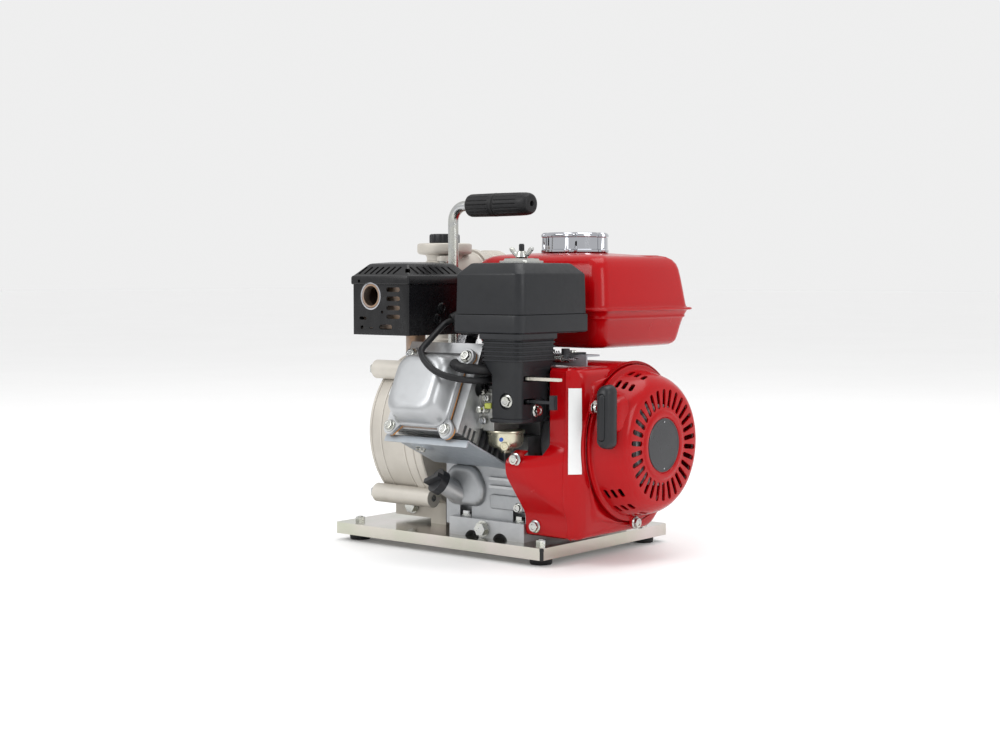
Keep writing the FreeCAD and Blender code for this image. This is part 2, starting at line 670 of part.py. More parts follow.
def make_piston():
    """Held at top dead centre, with the gudgeon pin through its bosses."""
    crown = S.deck - 1
    body = bore_rod(S.bore_radius - S.piston_fit, crown - S.piston_tall, crown)
    hollow = bore_rod(S.bore_radius - S.piston_wall, crown - S.piston_tall,
                      crown - S.piston_wall)
    y, z = along_bore(S.crank_to_gudgeon)
    half = S.bore_radius - 2
    pin = rod(S.gudgeon_radius, half * 2, (S.bore_x - half, y, z), "X")
    rings = []
    for index in range(3):
        start = crown - 5 - index * 4
        rings.append(cut(bore_rod(S.bore_radius + 1, start - 1, start),
                         bore_rod(S.bore_radius - 1.5, start - 1, start)))
    node("piston", fuse(cut(body, hollow, *rings), pin))


def make_connecting_rod():
    """The small end and shank; the big end is left open clear of the crank's sweep."""
    start = S.bore_x - S.rod_wide / 2
    y, z = along_bore(S.crank_to_gudgeon)
    eye = rod(S.rod_eye, S.rod_wide, (start, y, z), "X")
    half = S.rod_thick / 2
    shank = box((start, -S.crank_to_gudgeon, -half), (start + S.rod_wide, -S.rod_clear, half))
    lean = FreeCAD.Rotation(FreeCAD.Vector(1, 0, 0), -S.lean.number)
    shank = place(group(shank), turn=lean)
    hole = rod(S.gudgeon_radius, S.rod_wide, (start, y, z), "X")
    node("connecting_rod", cut(fuse(eye, shank), hole))


def make_flywheel():
    wheel = turned([(S.wheel_start, 0), (S.wheel_start, S.hub_radius),
                    (S.wheel_end - S.wheel_web, S.hub_radius),
                    (S.wheel_end - S.wheel_web, S.wheel_radius - 10),
                    (S.wheel_start, S.wheel_radius - 10), (S.wheel_start, S.wheel_radius),
                    (S.wheel_end, S.wheel_radius), (S.wheel_end, 0)])
    nose = taper(S.journal_radius, S.taper_radius, S.taper_end - S.taper_start,
                 (S.taper_start, 0, 0), "X")
    node("flywheel", cut(wheel, nose))


def make_cooling_fan():
    """Blades round a dished hub, with the starter cup and its nut in front."""
    plate = ring(S.fan_radius, S.journal_radius, 3, (S.wheel_end, 0, 0))
    blade = slab("YZ", rectangle(-S.blade_thick / 2, S.blade_thick / 2, S.fan_hub, S.fan_radius - 1),
                 S.wheel_end + 2, S.fan_end)
    patterned(blade, S.blade_count)
    hub = ring(S.fan_hub + 2, S.fan_hub - 1, S.fan_end - S.wheel_end, (S.wheel_end, 0, 0))
    cup = turned([(S.wheel_end + 2, S.stub_radius), (S.wheel_end + 2, S.cup_radius),
                  (S.cup_end, S.cup_radius), (S.cup_end, S.cup_radius - S.cup_wall),
                  (S.taper_end + 4, S.cup_radius - S.cup_wall), (S.taper_end + 4, S.stub_radius)])
    nut = hexagon(24, S.stub_end - S.taper_end - 14, (S.taper_end + 3, 0, 0), "X")
    stub = taper(S.journal_radius, S.taper_radius, S.taper_end - S.taper_start,
                 (S.taper_start, 0, 0), "X")
    thread = rod(S.stub_radius, S.stub_end - S.taper_end, (S.taper_end, 0, 0), "X")
    node("cooling_fan", cut(fuse(plate, blade, hub, cup, nut), stub, thread))


# ---- cylinder head and valve gear: drawn with the bore along -Y, then leaned ----

def upright(x_a, x_b, out_a, out_b, up_a, up_b):
    """A box in the head's frame, from its distances out along the bore."""
    return box((x_a, -as_dim(out_b), up_a), (x_b, -as_dim(out_a), up_b))


def make_cylinder_head():
    left = S.bore_x - S.head_half_x
    right = S.bore_x + S.head_half_x
    casting = upright(left, right, S.deck, S.head_top, S.head_low, S.head_high)
    tools = [rod(S.bore_radius - 2, 6, (S.bore_x, -S.deck, 0), "-Y")]
    for out in (6, 14, 22):
        for side_a, side_b in ((S.head_low, S.head_low + 12), (S.head_high - 12, S.head_high)):
            tools.append(upright(left, right, S.deck + out, S.deck + out + 4, side_a, side_b))
    room = S.rocker_room
    tools.append(upright(left + room, right - room, S.head_top - 5, S.head_top,
                         S.head_low + room, S.head_high - room))
    for offset in (-S.valve_offset, S.valve_offset):
        x = S.bore_x + offset
        tools.append(rod(S.stem_radius + 0.3, 60, (x, -S.deck, 0), "-Y"))
        tools.append(rod(S.valve_radius + 0.5, 5, (x, -S.deck, 0), "-Y"))
    tools.append(rod(S.intake_radius, 30, (right, -S.head_top + 16, 0), "-X"))
    tools.append(rod(S.plug_radius, 30, (S.plug_x, -S.deck - 18, S.head_high), "-Z"))
    leaned("cylinder_head", cut(casting, *tools))


def cover_outline(start, end):
    """The eared flange outline shared by the valve cover and its gasket."""
    low = S.cover_middle - S.ear_half_w
    high = S.cover_middle + S.ear_half_w
    half = S.dome_half_x + 3
    pieces = [upright(S.bore_x - half, S.bore_x + half, start, end, low, high)]
    for x, up in corners_of((S.bore_x - S.ear_half_x, S.bore_x + S.ear_half_x), (low, high)):
        pieces.append(rod(S.ear_radius, as_dim(end) - start, (x, -as_dim(start), up), "-Y"))
    return fuse(*pieces)


def make_valve_cover():
    seat = S.head_top + S.gasket_thick
    flange = cover_outline(seat, seat + S.cover_flange)
    middle = S.cover_middle

    def dome(inset):
        half_x = S.dome_half_x - inset
        half_w = S.dome_half_w - inset
        form = rectangle(S.bore_x - half_x, S.bore_x + half_x, middle - half_w, middle + half_w)
        return tapered("XZ", form, seat, S.dome_tall - inset, S.dome_taper)

    outer = dome(0)
    top = -seat - S.dome_tall
    soften(outer, S.dome_round * 2, lambda edge: edge.Length < 60 and not (
        all_near(edge, 1, top) or all_near(edge, 1, -seat)))
    soften(outer, S.dome_round, lambda edge: all_near(edge, 1, top))
    inner = dome(S.dome_wall + 3)
    bolts = []
    for x, up in cover_bolt_places():
        bolts.append(rod(S.cover_bolt_radius, S.cover_flange, (x, -seat, up), "-Y"))
    leaned("valve_cover", cut(fuse(flange, outer), inner, *bolts))


def cover_bolt_places():
    return corners_of((S.bore_x - S.ear_half_x, S.bore_x + S.ear_half_x),
                      (S.cover_middle - S.ear_half_w, S.cover_middle + S.ear_half_w))


def make_valve_cover_gasket():
    sheet = cover_outline(S.head_top, S.head_top + S.gasket_thick)
    room = S.rocker_room
    hole = upright(S.bore_x - S.head_half_x + room + 3, S.bore_x + S.head_half_x - room - 3,
                   S.head_top, S.head_top + S.gasket_thick,
                   S.head_low + room + 3, S.head_high - room - 14)
    bolts = []
    for x, up in cover_bolt_places():
        bolts.append(rod(S.cover_bolt_radius, S.gasket_thick, (x, -S.head_top, up), "-Y"))
    leaned("valve_cover_gasket", cut(sheet, hole, *bolts))


def make_valve_cover_bolts():
    seat = S.head_top + S.gasket_thick + S.cover_flange
    bolts = []
    for x, up in cover_bolt_places():
        bolts.append(flange_bolt((x, -seat, up), "-Y", S.cover_flange + S.gasket_thick))
    leaned("valve_cover_bolts", group(*bolts))


def make_valves():
    valves = []
    for offset in (-S.valve_offset, S.valve_offset):
        x = S.bore_x + offset
        stem = rod(S.stem_radius, S.stem_top - S.deck - 1, (x, -S.deck - 1, 0), "-Y")
        disc = taper(S.valve_radius, S.stem_radius, 8, (x, -S.deck - 2, 0), "-Y")
        valves.append(fuse(stem, overlap(disc, rod(S.valve_radius, 3, (x, -S.deck - 2, 0), "-Y"))))
    leaned("valves", group(*valves))


def make_valve_springs():
    springs = []
    for offset in (-S.valve_offset, S.valve_offset):
        coils = []
        for index in range(SIZES["spring_turns"]):
            out = S.spring_start + index * S.spring_pitch
            sizes = {"Radius1": S.spring_radius - S.spring_wire, "Radius2": S.spring_wire}
            at = (S.bore_x + offset, -out, 0)
            coils.append(primitive("Torus", sizes, at, "-Y"))
        springs.extend(coils)
    leaned("valve_springs", group(*springs))


def make_rocker_arms():
    arms = []
    for offset in (-S.valve_offset, S.valve_offset):
        x = S.bore_x + offset - S.rocker_wide / 2
        bar = upright(x, x + S.rocker_wide, S.stem_top + 0.2, S.stem_top + 0.2 + S.rocker_thick,
                      -S.rocker_long + 5, 6)
        post = rod(2.5, S.stem_top - S.head_top + 6, (S.bore_x + offset, -S.head_top + 5,
                                                      -S.rocker_long / 2 + 1), "-Y")
        arms.append(fuse(bar, post))
    leaned("rocker_arms", group(*arms))


def make_cylinder_side_plate():
    """The painted plate under the barrel that keeps the cooling air on the fins."""
    low = S.side_plate_low
    sheet = upright(S.side_plate_start, S.side_plate_end, S.side_plate_from, S.side_plate_to,
                    low, low + S.side_plate_thick)
    lip = upright(S.side_plate_start, S.side_plate_end, S.side_plate_to - 2, S.side_plate_to,
                  low - S.side_plate_lip / 2, low + S.side_plate_thick)
    leaned("cylinder_side_plate", fuse(sheet, lip))


# ---- ignition ----

def make_spark_plug():
    foot = (S.plug_x, -S.deck - 18, S.head_high)
    thread = rod(S.plug_radius, S.plug_reach, foot, "-Z")
    nut = hexagon(S.plug_hex, 12, foot)
    insulator = rod(S.plug_radius - 2, S.plug_tall, foot)
    leaned("spark_plug", fuse(thread, nut, insulator))


def plug_top():
    y, z = along_bore(S.deck + 18, S.head_high + S.plug_tall + 4)
    return (S.plug_x, y, z)


def arm_direction():
    return (-0.5, -0.78, -0.4)


def make_spark_plug_cap():
    """A rubber elbow: a socket over the plug and an arm that turns down to the lead."""
    foot = (S.plug_x, -S.deck - 18, S.head_high + S.plug_tall + 4 - S.boot_long)
    socket = place(group(rod(S.boot_radius, S.boot_long, foot)),
                   turn=FreeCAD.Rotation(FreeCAD.Vector(1, 0, 0), -S.lean.number))
    knee = ball(S.boot_radius, plug_top())
    arm = taper(S.boot_radius - 1, S.arm_radius, S.arm_long, plug_top(), arm_direction())
    hole = place(group(rod(S.plug_radius - 1.9, S.boot_long - 2, foot)),
                 turn=FreeCAD.Rotation(FreeCAD.Vector(1, 0, 0), -S.lean.number))
    nut_foot = (S.plug_x, -S.deck - 18, S.head_high)
    nut = place(group(rod(S.plug_hex * 0.6, 12.2, nut_foot)),
                turn=FreeCAD.Rotation(FreeCAD.Vector(1, 0, 0), -S.lean.number))
    node("spark_plug_cap", cut(fuse(socket, knee, arm), hole, nut))


def tube_along(points, radius, share=0.45):
    """A tube of straight runs joined by tangent arcs, each as large as its runs allow."""
    points = [FreeCAD.Vector(*point) for point in points]
    edges = []
    here = points[0]
    for before, corner, after in zip(points, points[1:], points[2:]):
        run_in = corner - before
        run_out = after - corner
        turn = run_in.getAngle(run_out)
        trim = share * min(run_in.Length, run_out.Length)
        entry = corner - run_in.normalize() * trim
        leave = corner + run_out.normalize() * trim
        bend = trim / math.tan(turn / 2)
        centre_way = (entry + leave) * 0.5 - corner
        depth = bend / math.cos(turn / 2) - bend
        middle = corner + centre_way.normalize() * depth
        edges.append(Part.LineSegment(here, entry).toShape())
        edges.append(Part.Arc(entry, middle, leave).toShape())
        here = leave
    edges.append(Part.LineSegment(here, points[-1]).toShape())
    path = Part.Wire(edges)
    circle = Part.makeCircle(radius, points[0], points[1] - points[0])
    tube = path.makePipeShell([Part.Wire([circle])], True, False)
    return tube, path.Length


def cable(name, points, radius, *tools):
    """A lead held at both ends, as one tube; prints how its volume compares."""
    tube, length = tube_along(points, radius)
    expected = math.pi * radius ** 2 * length
    print(f"{name}: length {length:.1f}, volume {tube.Volume:.0f} of {expected:.0f}")
    thing = doc.addObject("Part::Feature", name)
    thing.Shape = tube
    node(name, cut(thing, *tools) if tools else thing)


def arm_end():
    direction = FreeCAD.Vector(*arm_direction()).normalize()
    start = FreeCAD.Vector(*[size.number for size in plug_top()])
    return start + direction * S.arm_long.number


def make_ignition_lead():
    start = arm_end()
    way = FreeCAD.Vector(*arm_direction()).normalize()
    route = [start, start + way * 9, (26, -165, 102), (40, -176, 94), (55, -180, 84),
             (72, -178, 77), (88, -168, 73), (97, -148, 71), (96, -118, 73), (98, -88, 76),
             (106, -58, 77.5), (120, -30, 77.5)]
    cable("ignition_lead", route, S.lead_radius.number)


def make_breather_hose():
    """From the breather spout on the valve cover's shoulder round to the air cleaner elbow."""
    route = [(67.2, -156, 89), (74, -159.5, 86), (86, -158, 84), (96, -146, 83), (99, -134, 82),
             (108, -119.6, 82)]
    duct = box((S.elbow_start, S.elbow_front, S.elbow_low),
               (S.elbow_end, S.elbow_back, S.elbow_high))
    cable("breather_hose", route, 5.5, duct)


def make_ignition_coil():
    gap = 1.5
    low = S.wheel_radius + gap
    body = box((S.wheel_start + 2, -S.coil_wide / 2, low),
               (S.wheel_end - 2, S.coil_wide / 2, S.shroud_roof - S.shroud_wall - 0.5))
    node("ignition_coil", group(body))


# ---- fan shroud and recoil starter ----

def shroud_solid(inset):
    """The shroud's outer form: its face outline, cut back by its plan outline."""
    reach = S.shroud_reach + inset
    floor = S.shroud_floor + inset
    roof = S.shroud_roof - inset
    back = S.shroud_back - inset
    face = slab("YZ", [(-90 + inset, floor), (-94 + inset, floor + 4), (-94 + inset, -72),
                       (reach, -24), (reach, 44), (reach + 26, roof), (54, roof),
                       (back - 10, 52), (back, 14), (back, -38), (back - 24, -76),
                       (back - 48, floor)], S.shroud_start, S.shroud_end - inset)
    plan = slab("XY", [(S.shroud_start, reach), (S.shroud_slant_start, reach + 8),
                       (S.shroud_end - 12, S.shroud_front_y + inset),
                       (S.shroud_end - inset, S.shroud_front_y + 9 + inset),
                       (S.shroud_end - inset, back), (S.shroud_start, back)],
                S.shroud_floor - 5, S.shroud_roof + 5)
    return overlap(face, plan)


def make_fan_shroud():
    tools = [
        shroud_solid(S.shroud_wall),
        rod(S.shroud_mouth, 20, (S.shroud_end - 10, 0, 0), "X"),
        box((S.shroud_start, S.shroud_reach - 5, S.notch_low),
            (S.notch_end, S.notch_back, S.shroud_roof + 1)),
        rod(S.cover_bolt_radius, 10, (S.shroud_bolt_x, -100, S.shroud_bolt_z), "Y"),
    ]
    for y, z in recoil_bolt_places():
        tools.append(rod(S.cover_bolt_radius, 12, (S.shroud_end - 10, y, z), "X"))
    node("fan_shroud", cut(shroud_solid(0), *tools))


def recoil_profile(inset):
    wall = inset
    face = S.recoil_face - wall
    start = S.recoil_start
    return [(start, 0), (start, S.recoil_side_radius - wall),
            (S.recoil_start + 8, S.recoil_side_radius - wall),
            (face - 5, S.recoil_face_radius + 2 - wall), (face, S.recoil_face_radius - 4 - wall),
            (face, 0)]


def make_recoil_housing():
    """A dished cover with a slotted face, a centre post for the reel and a rope guide."""
    shell = cut(turned(recoil_profile(0)), turned(recoil_profile(S.recoil_wall)))
    flange = ring(S.recoil_flange_radius, S.recoil_side_radius - 3, S.recoil_flange_thick,
                  (S.recoil_start, 0, 0))
    post = rod(S.post_radius, S.recoil_face - S.reel_start + 2, (S.reel_start - 3, 0, 0), "X")
    guide = rod(S.guide_radius, S.guide_in - S.guide_out, (S.pull_x, S.guide_out, S.reel_groove),
                "Y")
    slot = slab("YZ", rectangle(-S.slot_wide / 2, S.slot_wide / 2, S.slot_inner, S.slot_outer),
                S.recoil_face - 6, S.recoil_face + 1)
    patterned(slot, S.slot_count)
    hole = rod(S.rope_radius + 1, 40, (S.pull_x, S.guide_out - 5, S.reel_groove), "Y")
    seat = rod(S.badge_radius + 0.2, S.badge_thick, (S.recoil_face - S.badge_thick, 0, 0), "X")
    ears = []
    bolts = []
    for y, z in recoil_bolt_places():
        at = (S.recoil_start, y, z)
        lobe = rod(S.recoil_ear, S.recoil_flange_thick, at, "X")
        ears.append(cut(lobe, rod(S.recoil_side_radius - 3, 20, (S.recoil_start - 5, 0, 0), "X")))
        bolts.append(rod(S.cover_bolt_radius, S.recoil_flange_thick, at, "X"))
    body = fuse(shell, flange, post, guide, *ears)
    node("recoil_housing", cut(body, slot, hole, seat, *bolts))


def recoil_bolt_places():
    circle = S.recoil_bolt_circle.number
    angles = (150, 270, 30)
    return [(circle * math.cos(math.radians(a)), circle * math.sin(math.radians(a)))
            for a in angles]


def make_recoil_badge():
    disc = rod(S.badge_radius, S.badge_thick, (S.recoil_face - S.badge_thick, 0, 0), "X")
    node("recoil_badge", group(disc))


def make_rope_reel():
    half = (S.reel_end - S.reel_start) / 2
    middle = S.reel_start + half
    groove = S.reel_groove_wide / 2
    bore = S.post_radius + S.running_fit
    reel = turned([(S.reel_start, bore), (S.reel_start, S.reel_radius),
                   (middle - groove, S.reel_radius), (middle - groove, S.reel_groove - 3),
                   (middle + groove, S.reel_groove - 3), (middle + groove, S.reel_radius),
                   (S.reel_end, S.reel_radius), (S.reel_end, bore)])
    node("rope_reel", reel)


def make_starter_grip():
    """The pull handle, upright across the rope, with a domed outer face."""
    x = S.pull_x
    out = S.guide_out - S.grip_gap
    half = S.grip_long / 2
    z = S.reel_groove
    body = new_body()
    pad = body.newObject("PartDesign::Pad", "Pad")
    pad.Profile = outline(body, "YZ", [(out, z - half), (out, z + half), (out - 9, z + half),
                                       (out - S.grip_deep, z + half - 16),
                                       (out - S.grip_deep, z - half + 16), (out - 9, z - half)],
                          x - S.grip_wide / 2)
    bind(pad, "Length", S.grip_wide)
    soften(body, S.grip_round, lambda edge: True)
    node("starter_grip", body)


def make_starter_rope():
    start = S.guide_out - S.grip_gap
    rope = rod(S.rope_radius, 30, (S.pull_x, start, S.reel_groove), "Y")
    node("starter_rope", group(rope))


def make_cover_bolts():
    """The M6 flange bolts of the shroud, the recoil starter and the air cleaner elbow."""
    front = S.recoil_start + S.recoil_flange_thick
    bolts = []
    for y, z in recoil_bolt_places():
        bolts.append(flange_bolt((front, y, z), "X", 10))
    bolts.append(flange_bolt((S.shroud_bolt_x, -94, S.shroud_bolt_z), "-Y", 8))
    node("cover_bolts", group(*bolts))


# ---- carburettor, air cleaner and controls ----

def make_carburettor():
    half = S.carb_wide / 2
    x = S.carb_x
    top = S.carb_z + S.carb_tall / 2
    body = box((x, S.carb_y - half, S.bowl_top), (x + S.carb_long, S.carb_y + half, top))
    ledge = box((x + 2, S.carb_y - 15, top), (x + S.carb_long - 2, S.carb_y + 4, top + 4))
    spacer = box((S.spacer_x, S.carb_y - 24, S.carb_z - 18), (x, S.carb_y + 24, S.carb_z + 18))
    throat = rod(S.intake_radius, S.carb_x + S.carb_long - S.spacer_x + 1,
                 (S.spacer_x, S.carb_y, S.carb_z), "X")
    node("carburettor", cut(fuse(body, ledge, spacer), throat))


def make_float_bowl():
    """A dished cup under the carburettor, with its hollow and the drain screw's nose."""
    bowl = turned([(S.bowl_top, 0), (S.bowl_top, S.bowl_radius + 1),
                   (S.bowl_top - 2, S.bowl_radius + 1), (S.bowl_top - 2, S.bowl_radius),
                   (S.bowl_shoulder, S.bowl_radius), (S.bowl_low, S.bowl_nose + 4),
                   (S.bowl_low - 4, S.bowl_nose), (S.bowl_low - 4, 0)], "Z")
    hollow = rod(S.bowl_radius - 1.5, S.bowl_top - S.bowl_shoulder, (0, 0, S.bowl_shoulder))
    screw = hexagon(10, 8, (4, -14, S.bowl_low + 4), (0.2, -0.8, -0.55))
    bowl = place(group(fuse(cut(bowl, hollow), screw)), (S.bowl_x, S.carb_y - 2, 0))
    node("float_bowl", group(bowl))


def make_air_cleaner_base():
    """The tray and the elbow that leads from it down to the carburettor."""
    tray = box((S.tray_start, S.tray_front, S.tray_low), (S.tray_end, S.tray_back, S.tray_high))
    wall = S.tray_wall
    pan = box((S.tray_start + wall, S.tray_front + wall, S.tray_low + wall),
              (S.tray_end - wall, S.tray_back - wall, S.tray_high))
    elbow = slab("XY", rectangle(S.elbow_start, S.elbow_end, S.elbow_front, S.elbow_back),
                 S.elbow_low, S.elbow_high)
    soften(elbow, S.elbow_round, lambda edge: runs_along(edge, 2))
    thick = S.elbow_wall
    duct = box((S.elbow_start + thick, S.carb_y - 18, S.elbow_low + thick + 4),
               (S.elbow_end - 10, S.carb_y + 18, S.tray_low + wall))
    half = S.spigot_half
    spigot = box((S.spigot_start, S.carb_y - half, S.elbow_low + 2),
                 (S.elbow_start + thick, S.carb_y + half, S.carb_z + half))
    mouth = rod(S.intake_radius + 2, 20, (S.spigot_start, S.carb_y, S.carb_z), "X")
    slots = []
    for z in (S.choke_z, S.fuel_z):
        gap = S.slot_gap + S.lever_thick / 2
        slots.append(box((S.lever_pivot_x - 9, S.lever_y - 12, z - gap),
                         (S.elbow_end + 2, S.lever_y + 7, z + gap)))
    stud = rod(S.stud_radius, S.stud_top - S.tray_low, (S.stud_x, S.stud_y, S.tray_low))
    node("air_cleaner_base", fuse(cut(fuse(cut(tray, pan), elbow, spigot), duct, mouth,
                                           *slots), stud))


def make_air_filter():
    inset = S.filter_inset
    low = S.tray_low + S.tray_wall
    block = box((S.tray_start + inset, S.tray_front + inset, low),
                (S.tray_end - inset, S.tray_back - inset, S.filter_high))
    core = rod(S.filter_core, S.filter_high - low, (S.stud_x, S.stud_y, low))
    node("air_filter", cut(block, core))


def case_solid(inset):
    gap = S.case_inset + inset
    slope = S.case_slope
    left = S.tray_start + gap
    right = S.tray_end - gap
    front = S.tray_front + gap
    back = S.tray_back - gap
    high = S.case_high - inset
    body = slab("XY", rectangle(left, right, front, back), S.tray_high, high)
    soften(body, S.case_round, lambda edge: runs_along(edge, 2))
    return soften(body, slope - inset, lambda edge: all_near(edge, 2, high), "Chamfer")


def make_air_cleaner_cover():
    shell = cut(case_solid(0), case_solid(S.tray_wall),
                rod(S.stud_radius + 0.5, 20, (S.stud_x, S.stud_y, S.case_high - 10)))
    washer = ring(S.wing_span - 2, S.stud_radius + 0.5, S.nut_base - S.case_high,
                  (S.stud_x, S.stud_y, S.case_high), "Z")
    node("air_cleaner_cover", fuse(shell, washer))


def make_wing_nut():
    low = S.nut_base + 0.2
    barrel = taper(S.nut_radius, S.nut_radius - 2, S.nut_tall, (S.stud_x, S.stud_y, low))
    wings = []
    span = S.wing_span
    for left, right in ((-span, -3), (3, span)):
        wings.append(box((S.stud_x + left, S.stud_y - S.wing_thick / 2, low + 2),
                         (S.stud_x + right, S.stud_y + S.wing_thick / 2,
                          low + 2 + S.wing_tall)))
    hole = rod(S.stud_radius + 0.2, 30, (S.stud_x, S.stud_y, low))
    node("wing_nut", cut(fuse(barrel, *wings), hole))


def flat_lever(z, reach, knob):
    """A flat lever on a pivot pin inside the elbow, reaching out through its slot."""
    low = z - S.lever_thick / 2
    y = S.lever_y
    half = S.lever_wide / 2
    bar = box((S.lever_pivot_x, y - half, low), (reach, y + half, low + S.lever_thick))
    eye = rod(half + 1, S.lever_thick, (S.lever_pivot_x, y, low))
    pieces = [bar, eye]
    if knob is not None:
        pieces.append(box((reach - 6, y - half, z - knob / 2), (reach, y + half, z + knob / 2)))
    return fuse(*pieces)


def make_levers():
    node("choke_lever", flat_lever(S.choke_z, S.lever_reach, None))
    node("fuel_valve_lever", flat_lever(S.fuel_z, S.fuel_reach, S.fuel_knob))


def make_control_bracket():
    z = S.control_z
    plate = box((S.control_start, S.control_front, z),
                (S.control_end, S.control_back, z + S.control_thick))
    lip = box((S.control_start, S.control_front, z - S.control_lip),
              (S.control_end, S.control_front + S.control_thick, z + S.control_thick))
    leg = box((S.control_start, S.control_back - 14, S.block_roof),
              (S.control_start + 16, S.control_back, z + S.control_thick))
    node("control_bracket", fuse(plate, lip, leg))


def make_throttle_lever():
    z = S.control_z + S.control_thick + 0.3
    half = S.throttle_wide / 2
    bar = box((S.throttle_x - half, S.throttle_y - S.throttle_reach, z),
              (S.throttle_x + half, S.throttle_y, z + S.control_thick))
    eye = rod(half + 1, S.control_thick, (S.throttle_x, S.throttle_y, z))
    tip = rod(half, 7, (S.throttle_x, S.throttle_y - S.throttle_reach, z))
    node("throttle_lever", fuse(bar, eye, tip))


def make_governor_linkage():
    z = S.control_z - S.control_lip / 2
    y = S.control_front - 6
    wire = rod(S.link_radius, S.control_end - S.control_start - 18, (S.control_start, y, z), "X")
    pieces = [wire]
    for index in range(6):
        sizes = {"Radius1": 3, "Radius2": 0.8}
        at = (S.control_start + 40 + index * 1.5, y, z + 2.6)
        pieces.append(primitive("Torus", sizes, at, "X"))
    hook = rod(S.link_radius, 5.8, (S.control_start + 1, y, z), "Y")
    node("governor_linkage", fuse(*pieces, hook))


def make_stop_switch():
    """The engine stop knob on the shroud's tank side."""
    back = S.shroud_back + 0.2
    knob = rod(S.stop_radius, S.stop_tall, (S.stop_x, back, S.stop_z), "Y")
    bar = box((S.stop_x - 2, back, S.stop_z - S.stop_radius),
              (S.stop_x + 2, back + S.stop_tall + 3, S.stop_z + S.stop_radius))
    node("stop_switch", fuse(knob, bar))


# ---- muffler ----

def guard_solid(inset, low):
    left = S.guard_start + inset
    right = S.guard_end - inset
    front = S.guard_front + inset
    back = S.guard_back - inset
    high = S.guard_high - inset
    body = slab("XY", rectangle(left, right, front, back), low, high)
    return soften(body, S.guard_slope - inset, lambda edge: all_near(edge, 2, high), "Chamfer")


def make_muffler_guard():
    shell = cut(guard_solid(0, S.guard_low), guard_solid(S.guard_wall, S.guard_low))
    vents = []
    for index in range(SIZES["vent_count"]):
        x = S.guard_start + 18 + index * S.vent_step
        vents.append(box((x, S.guard_front, S.guard_high - 10), (x + S.vent_wide,
                                                                 S.guard_front + 16, S.guard_high)))
    outlet = rod(S.guard_hole_radius, 10, (S.outlet_x, S.guard_front - 2, S.outlet_z), "Y")
    node("muffler_guard", cut(shell, outlet, *vents))


def make_muffler():
    gap = S.can_gap
    can = box((S.guard_start + gap, S.guard_front + gap, S.can_low),
              (S.guard_end - gap, S.guard_back - gap, S.guard_high - gap - 4))
    pipe = rod(S.pipe_radius, S.can_low - S.pipe_low, (S.pipe_x, S.pipe_y, S.pipe_low))
    foot = box((S.pipe_x - S.pipe_radius, S.pipe_y - 16, S.pipe_low - 12),
               (S.bore_x - S.head_half_x, S.pipe_y + 12, S.pipe_low + 2))
    outlet = rod(S.outlet_radius, gap + 2, (S.outlet_x, S.guard_front, S.outlet_z), "Y")
    inside = box((S.guard_start + gap + 2, S.guard_front + gap + 2, S.can_low + 2),
                 (S.guard_end - gap - 2, S.guard_back - gap - 2, S.guard_high - gap - 6))
    hole = rod(S.outlet_radius - 2, gap + 8, (S.outlet_x, S.guard_front - 1, S.outlet_z), "Y")
    bore = rod(S.pipe_radius - 2, S.can_low - S.pipe_low, (S.pipe_x, S.pipe_y, S.pipe_low + 4))
    node("muffler", cut(fuse(can, pipe, foot, outlet), inside, hole, bore))


# ---- fuel tank ----

def tank_rectangle(inset):
    return rectangle(S.tank_start + inset, S.tank_end - inset,
                     S.tank_front + inset, S.tank_back - inset)


def tank_half(wall, far, inset, edge_round):
    """One pressing of the tank, from the seam to its far face, closing in as it goes."""
    down = far.number < S.seam_z.number
    length = S.seam_z - far if down else far - S.seam_z
    body = tapered("XY", tank_rectangle(wall), S.seam_z, length, inset, down)
    soften(body, S.tank_round - wall, lambda edge: not (
        all_near(edge, 2, S.seam_z) or all_near(edge, 2, far)))
    return soften(body, edge_round, lambda edge: all_near(edge, 2, far))


def tank_solid(wall, edge_round):
    lower = tank_half(wall, S.tank_low + wall, S.low_inset, edge_round)
    upper = tank_half(wall, S.tank_high - wall, S.high_inset, edge_round)
    return fuse(lower, upper)


def make_fuel_tank():
    outer = tank_solid(as_dim(0), S.tank_edge)
    proud = -S.seam_proud
    seam = slab("XY", tank_rectangle(proud), S.seam_z - S.seam_thick / 2,
                S.seam_z + S.seam_thick / 2)
    soften(seam, S.tank_round + S.seam_proud, lambda edge: runs_along(edge, 2))
    inner = tank_solid(S.tank_wall, S.tank_edge)
    neck = rod(S.filler_radius, S.neck_high - S.tank_high + 8, (S.cap_x, S.cap_y, S.tank_high - 8))
    hole = rod(S.filler_radius - 2, S.neck_high - S.tank_high + 20,
               (S.cap_x, S.cap_y, S.tank_high - 14))
    node("fuel_tank", cut(fuse(outer, seam, neck), inner, hole))


def make_fuel_cap():
    """A chromed six-lobed cap that covers the filler neck."""
    tall = S.cap_high - S.cap_low
    lid = rod(S.cap_radius, tall, (S.cap_x, S.cap_y, S.cap_low))
    tools = [rod(S.filler_radius + 0.5, S.neck_high - S.cap_low + 1, (S.cap_x, S.cap_y, S.cap_low))]
    count = SIZES["lobe_count"]
    for index in range(count):
        angle = math.radians(index * 360 / count)
        x = S.cap_x + S.lobe_at * math.cos(angle)
        y = S.cap_y + S.lobe_at * math.sin(angle)
        tools.append(rod(S.lobe_cut, tall - 3, (x, y, S.cap_low)))
    node("fuel_cap", cut(lid, *tools))


# ---- pump ----

def ear_places():
    """The four casing bolts, on the diagonals."""
    reach = S.ear_circle * (1 / math.sqrt(2))
    return corners_of((-reach, reach), (-reach, reach))


